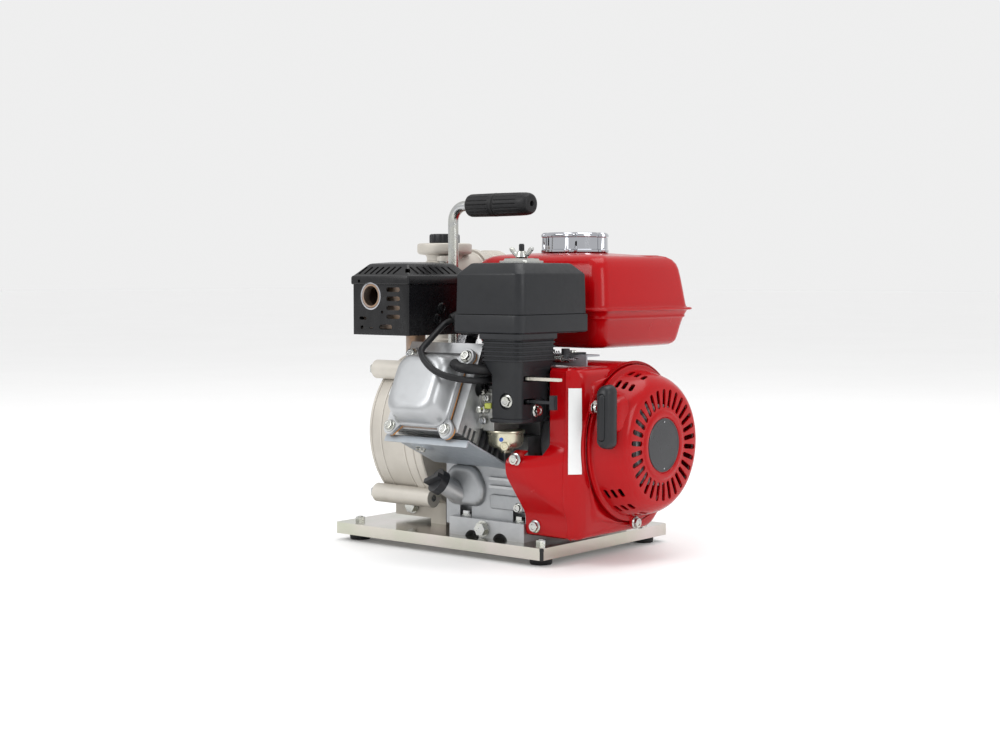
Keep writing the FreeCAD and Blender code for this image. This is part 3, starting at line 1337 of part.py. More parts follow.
def make_pump_adapter():
    """The casting between engine and pump: a flange, a neck, a foot and the handle's lug."""
    seat = S.plate_top - S.crank_height
    disc = rod(S.flange_radius, S.flange_near - S.flange_mid, (S.flange_mid, 0, 0), "X")
    neck = rod(S.adapter_neck, S.adapter_end - S.flange_near, (S.flange_near, 0, 0), "X")
    foot = box((S.flange_mid, -S.foot_half, seat), (S.flange_near, S.foot_half, seat + S.foot_leg))
    ears = []
    for y, z in ear_places():
        ears.append(rod(S.ear_boss, S.flange_near - S.flange_mid, (S.flange_mid, y, z), "X"))
    socket = rod(S.socket_radius, S.socket_high - S.socket_low,
                 (S.handle_x, S.handle_y, S.socket_low))
    tools = [rod(S.shaft_radius + 2, S.adapter_end - S.flange_mid, (S.flange_mid, 0, 0), "X"),
             rod(S.journal_radius + 8, 12, (S.adapter_end - 12, 0, 0), "X"),
             rod(S.seal_radius, S.seal_end - S.flange_mid, (S.flange_mid, 0, 0), "X"),
             rod(S.handle_radius, S.socket_high - S.handle_low,
                 (S.handle_x, S.handle_y, S.handle_low))]
    for y, z in ear_places():
        tools.append(rod(S.case_bolt_radius, 40, (S.flange_mid - 10, y, z), "X"))
    node("pump_adapter", cut(fuse(disc, neck, foot, socket, *ears), *tools))


def make_pump_casing():
    """The volute casing with its suction spigot, its foot, its boss pad and the riser's seat."""
    seat = S.plate_top - S.crank_height
    body = turned([(S.flange_mid, 0), (S.flange_mid, S.flange_radius),
                   (S.flange_far, S.flange_radius), (S.flange_far, S.casing_radius),
                   (S.casing_end + 6, S.casing_radius), (S.casing_end, S.casing_radius - 6),
                   (S.casing_end, S.suction_collar), (S.suction_end + S.thread_long,
                                                      S.suction_collar),
                   (S.suction_end + S.thread_long, S.suction_radius),
                   (S.suction_end, S.suction_radius), (S.suction_end, 0)])
    room = turned([(S.flange_mid, 0), (S.flange_mid, S.casing_radius - S.casing_wall),
                   (S.casing_end + S.casing_floor, S.casing_radius - S.casing_wall),
                   (S.casing_end + S.casing_floor, S.suction_bore),
                   (S.suction_end, S.suction_bore), (S.suction_end, 0)])
    pad = box((S.pad_start, -S.pad_half * 2, S.pad_low), (S.flange_far, S.pad_half, -60))
    foot = box((S.flange_far, -S.foot_half, seat), (S.flange_mid, S.foot_half, seat + S.foot_leg))
    ears = []
    holes = []
    for y, z in ear_places():
        ears.append(rod(S.ear_boss, S.flange_mid - S.casing_end, (S.casing_end, y, z), "X"))
        holes.append(rod(S.case_bolt_radius, S.flange_mid - S.casing_end, (S.casing_end, y, z),
                         "X"))
    riser = rod(S.riser_radius, 14, (S.port_x, 0, S.casing_radius - 6))
    port = rod(S.riser_bore, 40, (S.port_x, 0, S.casing_radius - 20))
    pad = cut(pad, rod(S.casing_radius - 4, S.flange_far - S.pad_start, (S.pad_start, 0, 0), "X"))
    shell = fuse(body, pad, foot, riser, *ears)
    node("pump_casing", cut(shell, room, port, *holes))


def make_casing_bolts():
    bolts = []
    for y, z in ear_places():
        at = (S.casing_end, y, z)
        head = hexagon(S.case_bolt_across, S.mount_bolt_head, at, "-X")
        washer = rod(S.case_bolt_across / 2 + 2, 2, at, "-X")
        shank = rod(S.case_bolt_radius, S.flange_near - S.casing_end, at, "X")
        bolts.append(fuse(head, washer, shank))
    node("casing_bolts", group(*bolts))


def make_impeller():
    """A closed impeller: two discs, six vanes between them, a hub and an open eye."""
    plate = S.shroud_plate
    back = ring(S.impeller_radius, S.shaft_radius, plate, (S.impeller_start - plate, 0, 0))
    front = ring(S.impeller_radius, S.eye_radius - 4, plate, (S.impeller_end, 0, 0))
    hub = ring(S.impeller_hub, S.shaft_radius, S.impeller_start - S.impeller_end - 4,
               (S.impeller_end + 4, 0, 0))
    vane = slab("YZ", [(-S.vane_thick / 2, S.impeller_hub - 2), (S.vane_thick / 2,
                                                                S.impeller_hub - 2),
                       (S.vane_thick * 5, S.impeller_radius - 6),
                       (S.vane_thick * 4, S.impeller_radius - 6)],
                S.impeller_end + plate - 0.5, S.impeller_start - plate + 0.5)
    patterned(vane, S.vane_count)
    node("impeller", fuse(back, front, hub, vane))


def make_pump_seal():
    seal = ring(S.seal_radius, S.shaft_radius + S.running_fit, S.seal_end - S.seal_start,
                (S.seal_start, 0, 0))
    node("pump_seal", seal)


def make_discharge_manifold():
    """The riser on the casing, with the priming port on top and the delivery branch to +Y."""
    low = S.casing_radius + 8
    riser = taper(S.riser_radius, S.riser_radius - 3, S.disc_low - low, (S.port_x, 0, low))
    disc = rod(S.disc_radius, S.disc_high - S.disc_low, (S.port_x, 0, S.disc_low))
    branch = rod(S.branch_radius, S.branch_end - 20, (S.port_x, 0, S.branch_z), "Y")
    end = ball(S.branch_radius, (S.port_x, 0, S.branch_z))
    collar = rod(S.branch_collar, S.branch_collar_wide, (S.port_x, S.branch_collar_at, S.branch_z),
                 "Y")
    thread = rod(S.port_radius, S.thread_long, (S.port_x, S.branch_end - S.thread_long,
                                                S.branch_z), "Y")
    tools = [rod(S.riser_bore, S.disc_high - low, (S.port_x, 0, low)),
             rod(S.branch_radius - 5, S.branch_end, (S.port_x, 0, S.branch_z), "Y"),
             rod(S.port_bore, S.thread_long, (S.port_x, S.branch_end - S.thread_long,
                                              S.branch_z), "Y")]
    node("discharge_manifold", cut(fuse(riser, disc, branch, end, collar, thread), *tools))


def make_priming_cap():
    x = S.port_x
    lid = rod(S.prime_radius, S.prime_tall, (x, 0, S.disc_high + 0.2))
    stub = rod(S.riser_bore - 0.3, S.prime_stub, (x, 0, S.disc_high + 0.2 - S.prime_stub))
    tools = []
    for side in (-1, 1):
        tools.append(box((x - S.prime_radius, side * S.prime_radius / 2 - 4, S.disc_high + 5),
                         (x + S.prime_radius, side * S.prime_radius / 2 + 4,
                          S.disc_high + S.prime_tall + 1)))
    node("priming_cap", cut(fuse(lid, stub), *tools))


# ---- carrying handle ----

def make_handle_rod():
    """Round bar: flattened foot, upright, one bend, and the end inside the grip."""
    x = S.handle_x.number
    y = S.handle_y.number
    low = S.handle_low.number
    high = S.handle_high.number
    bend = S.handle_bend.number
    lean = bend * (1 - math.sqrt(0.5))
    path = Part.Wire([
        Part.LineSegment(FreeCAD.Vector(x, y, low), FreeCAD.Vector(x, y, high - bend)).toShape(),
        Part.Arc(FreeCAD.Vector(x, y, high - bend), FreeCAD.Vector(x + lean, y, high - lean),
                 FreeCAD.Vector(x + bend, y, high)).toShape(),
        Part.LineSegment(FreeCAD.Vector(x + bend, y, high),
                         FreeCAD.Vector(S.handle_into_grip.number, y, high)).toShape()])
    circle = Part.makeCircle(S.handle_radius.number, FreeCAD.Vector(x, y, low),
                             FreeCAD.Vector(0, 0, 1))
    bar = doc.addObject("Part::Feature", "HandleBar")
    bar.Shape = path.makePipeShell([Part.Wire([circle])], True, False)
    node("handle_rod", bar)


def make_handle_grip():
    grip = turned([(S.grip_start, 0), (S.grip_start, S.hand_grip_radius - 3),
                   (S.grip_start + 3, S.hand_grip_radius), (S.grip_end - 3, S.hand_grip_radius),
                   (S.grip_end, S.hand_grip_radius - 3), (S.grip_end, 0)])
    bore = rod(S.handle_radius, S.handle_into_grip - S.grip_start, (S.grip_start, 0, 0), "X")
    hole = rod(1.5, S.grip_end - S.handle_into_grip, (S.handle_into_grip, 0, 0), "X")
    grip = place(group(cut(grip, bore, hole)), (0, S.handle_y, S.handle_high))
    node("handle_grip", group(grip))


MAKERS = [
    make_base_plate, make_rubber_feet, make_foot_fasteners, make_engine_block,
    make_crankcase_cover, make_engine_bolts, make_drain_plugs, make_oil_filler_cap,
    make_crankshaft, make_camshaft, make_main_bearings, make_piston, make_connecting_rod,
    make_flywheel, make_cooling_fan, make_cylinder_head, make_valve_cover,
    make_valve_cover_gasket, make_valve_cover_bolts, make_valves, make_valve_springs,
    make_rocker_arms, make_cylinder_side_plate, make_spark_plug, make_spark_plug_cap,
    make_ignition_lead, make_breather_hose, make_ignition_coil, make_fan_shroud,
    make_recoil_housing, make_recoil_badge, make_rope_reel, make_starter_grip,
    make_starter_rope, make_cover_bolts, make_carburettor, make_float_bowl,
    make_air_cleaner_base, make_air_filter, make_air_cleaner_cover, make_wing_nut,
    make_levers, make_control_bracket, make_throttle_lever, make_governor_linkage,
    make_stop_switch, make_muffler_guard, make_muffler, make_fuel_tank, make_fuel_cap,
    make_pump_adapter, make_pump_casing, make_casing_bolts, make_impeller, make_pump_seal,
    make_discharge_manifold, make_priming_cap, make_handle_rod, make_handle_grip,
]


def check_everything():
    """Stop before anything is written if a feature failed or a piece is not a valid solid."""
    bad = []
    for thing in doc.Objects:
        if "Invalid" in thing.State or "Error" in thing.State:
            bad.append(f"{thing.Name} ({thing.Label}): {thing.State}")
        elif thing.TypeId.startswith("PartDesign::Body") and not thing.Shape.isValid():
            bad.append(f"{thing.Name}: not a valid body")
    for name, thing in NODES.items():
        shape = thing.Shape
        if shape.isNull() or not shape.isValid() or not shape.Solids:
            bad.append(f"{name}: not a valid solid")
    if bad:
        raise RuntimeError("; ".join(bad))


def write_parts():
    os.makedirs("parts", exist_ok=True)
    for name, thing in NODES.items():
        thing.Shape.exportStep(f"parts/{name}.step")


for maker in MAKERS:
    maker()
doc.recompute()
check_everything()
write_parts()
whole = FreeCAD.BoundBox()
for piece in NODES.values():
    whole.add(piece.Shape.BoundBox)
print(f"{len(NODES)} nodes, box {whole.XMin:.2f} {whole.XMax:.2f} "
      f"{whole.YMin:.2f} {whole.YMax:.2f} {whole.ZMin:.2f} {whole.ZMax:.2f}")
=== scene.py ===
import json
from math import atan2, cos, degrees, hypot, pi, radians, sin, sqrt, tan

import bmesh
import bpy
from mathutils import Matrix, Vector


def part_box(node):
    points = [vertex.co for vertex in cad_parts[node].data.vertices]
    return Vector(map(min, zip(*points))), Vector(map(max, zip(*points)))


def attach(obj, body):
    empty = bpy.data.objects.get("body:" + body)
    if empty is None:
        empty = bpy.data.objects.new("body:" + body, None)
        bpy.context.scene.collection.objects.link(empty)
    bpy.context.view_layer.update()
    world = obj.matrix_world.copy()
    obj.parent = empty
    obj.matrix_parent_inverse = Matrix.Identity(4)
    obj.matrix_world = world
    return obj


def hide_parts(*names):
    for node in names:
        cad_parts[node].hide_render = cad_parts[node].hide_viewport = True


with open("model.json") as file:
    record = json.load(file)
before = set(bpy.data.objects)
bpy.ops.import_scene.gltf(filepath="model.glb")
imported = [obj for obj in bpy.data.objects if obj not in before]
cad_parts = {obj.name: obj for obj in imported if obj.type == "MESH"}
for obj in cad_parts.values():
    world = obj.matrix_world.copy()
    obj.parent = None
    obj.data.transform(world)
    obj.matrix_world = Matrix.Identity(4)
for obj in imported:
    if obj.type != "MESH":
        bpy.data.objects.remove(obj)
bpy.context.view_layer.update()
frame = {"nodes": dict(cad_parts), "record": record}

# A portable fire pump: petrol engine, recoil starter and close-coupled pump on a folded plate.
# Shapes are written in millimetres about the crank axis: X runs along the crankshaft towards
# the recoil starter, -Y is the cylinder side, +Y the tank side and Z is up. The finished
# pieces are in metres, in the frame's own axes.

MM = 0.001
NODES = frame["nodes"]


def middle(node):
    low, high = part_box(node)
    return (low + high) / 2


CRANK = Vector((middle("base_plate").x, middle("recoil_badge").y, middle("recoil_badge").z))
LEAN = radians(25)
STARTER_SIDE = (1, 0, 0)
FRONT = (0, -1, 0)
UP = (0, 0, 1)


# ---- points and outlines -------------------------------------------------------------------

def turn_to(direction):
    """The rotation that takes +Z to a direction."""
    return Vector(direction).to_track_quat("Z", "Y").to_matrix().to_4x4()


def aimed(at, direction):
    """Seats a shape built about +Z at a point, along a direction."""
    return Matrix.Translation(Vector(at)) @ turn_to(direction)


def shift(x, y, z):
    return Matrix.Translation((x, y, z))


def turned(angle, axis):
    """A turn about an axis, in degrees."""
    return Matrix.Rotation(radians(angle), 4, axis)


def along_x(at=(0, 0, 0)):
    """Seats a shape so that its (u, v, depth) run along (Y, Z, X)."""
    return Matrix(((0, 0, 1, at[0]), (1, 0, 0, at[1]), (0, 1, 0, at[2]), (0, 0, 0, 1)))


def along_y(at=(0, 0, 0)):
    """Seats a shape so that its (u, v, depth) run along (X, Z, -Y): the depth faces out."""
    return Matrix(((1, 0, 0, at[0]), (0, 0, -1, at[1]), (0, 1, 0, at[2]), (0, 0, 0, 1)))


def upright(at):
    """Seats a shape so that its (u, v, depth) run along (Z, X, -Y)."""
    return Matrix(((0, 1, 0, at[0]), (0, 0, -1, at[1]), (1, 0, 0, at[2]), (0, 0, 0, 1)))


# The head's own frame: X along the crank, w square to the bore, out along the bore.
HEAD = Matrix(
    ((1, 0, 0, 0), (0, sin(LEAN), -cos(LEAN), 0), (0, cos(LEAN), sin(LEAN), 0), (0, 0, 0, 1)))


def around(count):
    """Even angles round a full turn."""
    return [2 * pi * index / count for index in range(count)]


def spoke(angle, radius):
    return radius * cos(angle), radius * sin(angle)


def circle(radius, count=48):
    return [spoke(angle, radius) for angle in around(count)]


def soft_outline(corners, steps=6):
    """A closed outline of (u, v, radius) corners, each turned on its own arc."""
    outline = []
    for index, (u, v, radius) in enumerate(corners):
        here = Vector((u, v))
        back = Vector(corners[index - 1][:2]) - here
        on = Vector(corners[(index + 1) % len(corners)][:2]) - here
        half = back.angle(on) / 2
        trim = min(radius / tan(half), back.length * 0.49, on.length * 0.49)
        bend = trim * tan(half)
        centre = here + (back.normalized() + on.normalized()).normalized() * (bend / sin(half))
        first = here + back.normalized() * trim - centre
        last = here + on.normalized() * trim - centre
        begin = atan2(first.y, first.x)
        sweep = atan2(last.y, last.x) - begin
        sweep = (sweep + pi) % (2 * pi) - pi
        for step in range(steps + 1):
            angle = begin + sweep * step / steps
            outline.append((centre.x + bend * cos(angle), centre.y + bend * sin(angle)))
    return outline


def rounded(left, right, low, high, radius, steps=6):
    """A rectangle with rounded corners."""
    return soft_outline(
        [(left, low, radius), (right, low, radius), (right, high, radius), (left, high, radius)],
        steps)


def slot_outline(length, width, centre=(0, 0), steps=6):
    """A slot with round ends, long along u."""
    u, v = centre
    return rounded(
        u - length / 2, u + length / 2, v - width / 2, v + width / 2, width / 2 - 0.01, steps)


def hexagonal(across):
    """A hexagon drawn with many points, so that it can meet a round chamfer."""
    return [spoke(angle, across / 2 / cos(angle % (pi / 3) - pi / 6)) for angle in around(48)]


def capped(outline, limit):
    """An outline whose points are drawn in to a largest radius."""
    points = []
    for u, v in outline:
        size = hypot(u, v)
        scale = min(1.0, limit / size)
        points.append((u * scale, v * scale))
    return points


# ---- shapes --------------------------------------------------------------------------------

class Shape:
    """Points and faces that grow into one piece, in millimetres about the crank axis."""

    def __init__(self):
        self.points = []
        self.faces = []
        self.paints = []

    def add(self, points, faces, paint=0, seat=None):
        base = len(self.points)
        for point in points:
            place = Vector(point)
            self.points.append(seat @ place if seat is not None else place)
        for face in faces:
            self.faces.append([base + index for index in face])
            self.paints.append(paint)
        return self

    def rings(self, rings, paint=0, seat=None, caps=(True, True), closed=True):
        """Skins rings of equal count; caps close the two ends."""
        count = len(rings[0])
        points = [point for ring in rings for point in ring]
        faces = []
        for level in range(len(rings) - 1):
            low = level * count
            for index in range(count if closed else count - 1):
                after = (index + 1) % count
                faces.append((low + index, low + after, low + count + after, low + count + index))
        if caps[0]:
            faces.append(list(range(count))[::-1])
        if caps[1]:
            faces.append([(len(rings) - 1) * count + index for index in range(count)])
        return self.add(points, faces, paint, seat)

    def prism(self, outline, start, end, seat=None):
        """An outline carried straight from one depth to another."""
        rings = [[(u, v, depth) for u, v in outline] for depth in (start, end)]
        return self.rings(rings, seat=seat)

    def stack(self, levels, paint=0, seat=None, caps=(True, True)):
        """Outlines of equal count at rising depths: [(outline, depth), ...]."""
        rings = [[(u, v, depth) for u, v in outline] for outline, depth in levels]
        return self.rings(rings, paint, seat, caps)

    def lathe(self, profile, count=64, seat=None):
        """A profile of (radius, height) turned about the seat's Z axis."""
        levels = [(circle(radius, count), height) for radius, height in profile]
        return self.stack(levels, seat=seat)

    def hoop(self, profile, count=64, paint=0, seat=None):
        """A closed profile of (radius, height) turned into a ring with a hole."""
        rings = []
        for angle in around(count):
            rings.append([(*spoke(angle, radius), height) for radius, height in profile])
        rings.append(rings[0])
        return self.rings(rings, paint, seat, caps=(False, False))

    def without(self, inside):
        """Leaves out the faces whose middles lie inside a region."""
        kept = [(face, paint) for face, paint in zip(self.faces, self.paints)
                if not inside(sum((self.points[i] for i in face), Vector()) / len(face))]
        self.faces = [face for face, paint in kept]
        self.paints = [paint for face, paint in kept]
        return self

    def bolt(self, at, direction, across, head, flange=7):
        """A hexagon flange bolt head with a chamfered top and a dished stamp."""
        seat = aimed(at, direction)
        self.lathe([(flange, 0), (flange, 0.9), (flange - 0.8, 1.5), (across / 2, 1.9)], 32, seat)
        shape = hexagonal(across)
        top = across / 2 * 1.02
        self.stack([(shape, 0.2), (shape, head - 0.9), (capped(shape, top), head - 0.1),
                    (capped(shape, top * 0.86), head), (capped(shape, top * 0.62), head - 0.1),
                    (capped(shape, top * 0.52), head - 0.7)], seat=seat)
        return self

    def nut(self, at, direction, across, tall):
        shape = hexagonal(across)
        low = capped(shape, across / 2 * 1.04)
        return self.stack([(low, 0), (shape, 0.7), (shape, tall - 0.7), (low, tall)],
                          seat=aimed(at, direction))


def offset(outline, distance):
    """An outline moved inwards (or outwards, when negative) along its own normals."""
    moved = []
    count = len(outline)
    area = sum(outline[i - 1][0] * outline[i][1] - outline[i][0] * outline[i - 1][1]
               for i in range(count))
    side = 1 if area > 0 else -1
    for index in range(count):
        before = Vector(outline[index - 1])
        here = Vector(outline[index])
        after = Vector(outline[(index + 1) % count])
        way = after - before
        if way.length < 1e-6:
            moved.append(tuple(here))
            continue
        inward = Vector((-way.y, way.x)).normalized() * side
        moved.append(tuple(here + inward * distance))
    return moved


def stepped(outline, levels):
    """Levels of one outline drawn in by steps: [(how far in, depth), ...]."""
    return [(offset(outline, drawn) if drawn else outline, depth) for drawn, depth in levels]


def bulged(outline, start, end, edge, steps=4, low_edge=0.0):
    """Levels of a block whose far rim (and near rim) is rounded by edge."""
    levels = []
    if low_edge:
        for step in range(steps + 1):
            angle = pi / 2 * (1 - step / steps)
            levels.append(
                (offset(outline, low_edge * (1 - cos(angle))), start + low_edge * (1 - sin(angle))))
    else:
        levels.append((outline, start))
    for step in range(steps + 1):
        angle = pi / 2 * step / steps
        levels.append((offset(outline, edge * (1 - cos(angle))), end - edge * (1 - sin(angle))))
    return levels


# ---- pieces --------------------------------------------------------------------------------

def as_mesh(shape, name, finishes):
    data = bpy.data.meshes.new(name)
    data.from_pydata([(point + CRANK / MM) * MM for point in shape.points], [], shape.faces)
    for finish in finishes:
        data.materials.append(finish)
    for face, paint in zip(data.polygons, shape.paints):
        face.material_index = paint
    work = bmesh.new()
    work.from_mesh(data)
    bmesh.ops.remove_doubles(work, verts=work.verts, dist=1e-7)
    bmesh.ops.recalc_face_normals(work, faces=work.faces)
    work.to_mesh(data)
    work.free()
    return data


def placed(name, data):
    """Makes an object of some data and links it to the scene."""
    thing = bpy.data.objects.new(name, data)
    bpy.context.scene.collection.objects.link(thing)
    return thing


def modified(thing, kind, **settings):
    modifier = thing.modifiers.new(kind.lower(), kind)
    for key, value in settings.items():
        setattr(modifier, key, value)
    return modifier


def softened(thing, width, angle):
    """Rounds every edge sharper than an angle."""
    modified(thing, "BEVEL", width=width * MM, segments=2, limit_method="ANGLE",
             angle_limit=radians(angle), harden_normals=True)


def settled(thing):
    """Applies the modifiers so far to the mesh."""
    graph = bpy.context.evaluated_depsgraph_get()
    data = bpy.data.meshes.new_from_object(thing.evaluated_get(graph))
    thing.modifiers.clear()
    old = thing.data
    thing.data = data
    bpy.data.meshes.remove(old)


def piece(name, shape, node=None, finish=None, like=None, body="engine", edge=0.0, wall=0.0,
          cut=None, smooth=32, extra=(), even=True, solver="EXACT"):
    """Makes a piece that rides on a body.

    It may stand for a node and take its finish, or only look like a node.
    """
    thing = placed(name, as_mesh(shape, name, [finish or finish_of(node or like), *extra]))
    if wall:
        modified(thing, "SOLIDIFY", thickness=wall * MM, offset=-1, use_even_offset=even)
        settled(thing)
    if cut is not None:
        tool = placed("tool", as_mesh(cut, "tool", []))
        modified(thing, "BOOLEAN", object=tool, operation="DIFFERENCE", solver=solver)
        settled(thing)
        bpy.data.objects.remove(tool)
    thing.data.shade_smooth()
    if edge:
        softened(thing, edge, smooth)
    else:
        thing.data.set_sharp_from_angle(angle=radians(smooth))
    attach(thing, body)
    if node:
        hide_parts(node)


def bolt_heads(name, heads, node=None, finish=None):
    """A group of bolt heads: each is (place, direction, across, head, flange)."""
    group = Shape()
    for head in heads:
        group.bolt(*head)
    piece(name, group, node, finish or (None if node else ZINC))


def tube(name, route, radius, finish):
    """A round wire that follows a smooth line through a route."""
    data = bpy.data.curves.new(name, "CURVE")
    data.dimensions = "3D"
    data.bevel_depth = radius * MM
    data.bevel_resolution = 6
    data.resolution_u = 10
    data.use_fill_caps = True
    line = data.splines.new("NURBS")
    line.points.add(len(route) - 1)
    for point, place in zip(line.points, route):
        point.co = (*((Vector(place) + CRANK / MM) * MM), 1)
    line.order_u = 3
    line.use_endpoint_u = True
    data.materials.append(finish)
    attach(placed(name, data), "engine")


SLOT_OF = {entry["node"]: entry["material_slot"] for entry in frame["record"]["subparts"]}


# ---- finishes ------------------------------------------------------------------------------

def shade(colour, factor):
    return tuple(min(1.0, part * factor) for part in colour)


def fill(node, values):
    """Sets inputs of a shader node by name."""
    for name, value in values.items():
        node.inputs[name].default_value = value


def finish(name, colour, rough, metal=0.0, mottle=0.06, patch=30.0, grain=0.1, fine=0.8,
           coat=0.0, worn=None, wear=0.5, second=None, spread=0.2, specular=0.5):
    """A procedural material: mottled colour, uneven gloss, fine grain and rubbed edges."""
    made = bpy.data.materials.new(name)
    made.use_nodes = True
    nodes = made.node_tree.nodes

    def add(kind, values):
        node = nodes.new("ShaderNode" + kind)
        fill(node, values)
        return node

    def wire(source, output, target, socket):
        made.node_tree.links.new(source.outputs[output], target.inputs[socket])

    coords = add("TexCoord", {})

    def noise(size, detail, seed):
        texture = add("TexNoise", {"Scale": 1 / (size * MM), "Detail": detail})
        texture.noise_dimensions = "4D"
        fill(texture, {"W": seed})
        wire(coords, "Object", texture, "Vector")
        return texture

    broad = noise(patch, 5, 1.0)
    tight = noise(fine, 3, 4.0)
    smudge = noise(patch / 4, 6, 7.0)
    ramp = add("ValToRGB", {})
    for stop, place, tone, factor in zip(
            ramp.color_ramp.elements, (0.3, 0.7), (colour, second or colour),
            (1 - mottle, 1 + mottle)):
        stop.position = place
        stop.color = (*shade(tone, factor), 1)
    wire(broad, "Fac", ramp, "Fac")
    hue = (ramp, "Color")
    gloss = add("MapRange", {
        "From Min": 0.3, "From Max": 0.7, "To Min": rough * (1 - spread),
        "To Max": rough * (1 + spread)})
    wire(smudge, "Fac", gloss, "Value")
    if worn is not None:
        edges = add("NewGeometry", {})
        sharp = add("MapRange", {"From Min": 0.53, "From Max": 0.62, "To Max": wear})
        wire(edges, "Pointiness", sharp, "Value")
        broken = add("Math", {})
        broken.operation = "MULTIPLY"
        wire(sharp, "Result", broken, 0)
        wire(smudge, "Fac", broken, 1)
        rub = add("Mix", {})
        rub.data_type = "RGBA"
        fill(rub, {"B": (*worn, 1)})
        wire(broken, "Value", rub, "Factor")
        wire(*hue, rub, "A")
        hue = (rub, "Result")
    bump = add("Bump", {"Strength": grain, "Distance": fine * MM * 0.5})
    wire(tight, "Fac", bump, "Height")
    shader = nodes["Principled BSDF"]
    fill(shader, {"Metallic": metal, "Coat Weight": coat, "Coat Roughness": 0.06,
                  "Specular IOR Level": specular})
    wire(*hue, shader, "Base Color")
    wire(gloss, "Result", shader, "Roughness")
    wire(bump, "Normal", shader, "Normal")
    return made


# Colour, roughness, metal, mottling, patch size, grain, fine size, and what is rarer.
LOOKS = {
    "zinc_plate": ((0.5, 0.52, 0.42), 0.16, 1.0, 0.06, 60, 0.03, 0.5,
                   {"second": (0.58, 0.52, 0.5), "spread": 0.3}),
    "zinc_steel": ((0.45, 0.46, 0.48), 0.25, 1.0, 0.06, 12, 0.04, 0.4, {"second": (0.52, 0.52, 0.46)}),
    "steel_bright": ((0.5, 0.5, 0.52), 0.22, 1.0, 0.06, 10, 0.05, 0.3, {}),
    "chrome_cap": ((0.46, 0.47, 0.5), 0.07, 1.0, 0.02, 30, 0.01, 1.5, {}),
    "rubber_black": ((0.008, 0.008, 0.009), 0.5, 0.0, 0.2, 14, 0.2, 0.35,
                     {"worn": (0.04, 0.04, 0.04), "wear": 0.6, "specular": 0.3}),
    "engine_alu": ((0.34, 0.35, 0.36), 0.42, 0.75, 0.08, 20, 0.35, 0.7, {"worn": (0.75, 0.75, 0.75)}),
    "cover_alu": ((0.4, 0.41, 0.42), 0.36, 0.7, 0.05, 35, 0.12, 0.5, {"worn": (0.82, 0.82, 0.82)}),
    "pump_alu": ((0.5, 0.47, 0.42), 0.5, 0.35, 0.07, 45, 0.3, 1.1, {"worn": (0.75, 0.72, 0.66)}),
    "cast_iron_dark": ((0.12, 0.12, 0.13), 0.5, 0.7, 0.15, 8, 0.3, 0.6, {}),
    "red_paint": ((0.36, 0.001, 0.003), 0.22, 0.0, 0.05, 90, 0.004, 1.2,
                  {"coat": 0.12, "spread": 0.25, "specular": 0.16}),
    "grey_paint": ((0.28, 0.31, 0.34), 0.38, 0.35, 0.06, 25, 0.08, 0.8, {"worn": (0.6, 0.62, 0.64)}),
    "black_paint": ((0.005, 0.005, 0.006), 0.26, 0.0, 0.15, 30, 0.02, 0.6,
                    {"worn": (0.06, 0.06, 0.06), "specular": 0.3}),
    "heat_steel": ((0.4, 0.24, 0.13), 0.45, 0.9, 0.25, 14, 0.25, 0.6, {"second": (0.3, 0.26, 0.24)}),
    "black_plastic": ((0.012, 0.013, 0.015), 0.4, 0.0, 0.12, 25, 0.16, 0.45,
                      {"worn": (0.04, 0.04, 0.045), "wear": 0.6, "specular": 0.3}),
    "fan_plastic": ((0.02, 0.02, 0.022), 0.5, 0.0, 0.1, 20, 0.2, 0.5, {}),
    "grey_plastic": ((0.3, 0.31, 0.32), 0.5, 0.0, 0.08, 20, 0.2, 0.5, {}),
    "pale_plastic": ((0.55, 0.53, 0.46), 0.45, 0.0, 0.06, 12, 0.15, 0.4, {}),
    "gasket_brown": ((0.5, 0.22, 0.06), 0.7, 0.0, 0.2, 5, 0.4, 0.5, {}),
    "badge_grey": ((0.03, 0.031, 0.034), 0.32, 0.2, 0.1, 20, 0.1, 0.6, {}),
    "filter_foam": ((0.16, 0.14, 0.1), 0.9, 0.0, 0.2, 4, 0.9, 1.2, {}),
    "rope_white": ((0.75, 0.75, 0.7), 0.8, 0.0, 0.1, 4, 0.8, 0.5, {}),
    "bowl_zinc": ((0.56, 0.54, 0.44), 0.3, 0.9, 0.04, 18, 0.03, 0.4, {"second": (0.58, 0.55, 0.4)}),
    "carb_zinc": ((0.5, 0.5, 0.48), 0.4, 0.85, 0.1, 8, 0.25, 0.4, {}),
}
FINISHES = {name: finish(name, *look, **rarer) for name, (*look, rarer) in LOOKS.items()}
ZINC = FINISHES["zinc_steel"]
LABEL = finish("label_blank", (0.74, 0.75, 0.75), 0.4, 0.0, 0.04, 20, 0.04, 0.6, coat=0.3)
LABEL_ORANGE = finish("label_orange", (0.85, 0.2, 0.03), 0.4, 0.0, 0.05, 20, 0.04, 0.6, coat=0.3)
# A flat black that paints shade: it fills the joint ring at the pump adapter and the slit at the
# plate's corner.
PAINTED_SHADE_BLACK = finish("shadow_black", (0.006, 0.006, 0.007), 0.6, 0.0, 0.1, 20, 0.1, 0.6)


def finish_of(node):
    return FINISHES[SLOT_OF[node]]


def paint_frame():
    """Every carried-over CAD node takes the finish of its material slot."""
    for name, thing in NODES.items():
        for index in range(len(thing.material_slots)):
            thing.material_slots[index].material = finish_of(name)


# ---- smooth measures -----------------------------------------------------------------------

def eased(low, high, value):
    """0 below low, 1 above high, and a smooth rise between them."""
    share = min(1.0, max(0.0, (value - low) / (high - low)))
    return share * share * (3 - 2 * share)


def along_line(stops, value):
    """The height of a broken line at a value: stops are (value, height)."""
    for (x_a, y_a), (x_b, y_b) in zip(stops, stops[1:]):
        if value <= x_b:
            return y_a + (y_b - y_a) * max(0.0, value - x_a) / (x_b - x_a)
    return stops[-1][1]


def lesser(a, b, soft):
    """The smaller of two sizes, rounded where they cross."""
    gap = max(0.0, 1 - abs(a - b) / soft)
    return min(a, b) - gap * gap * soft / 4


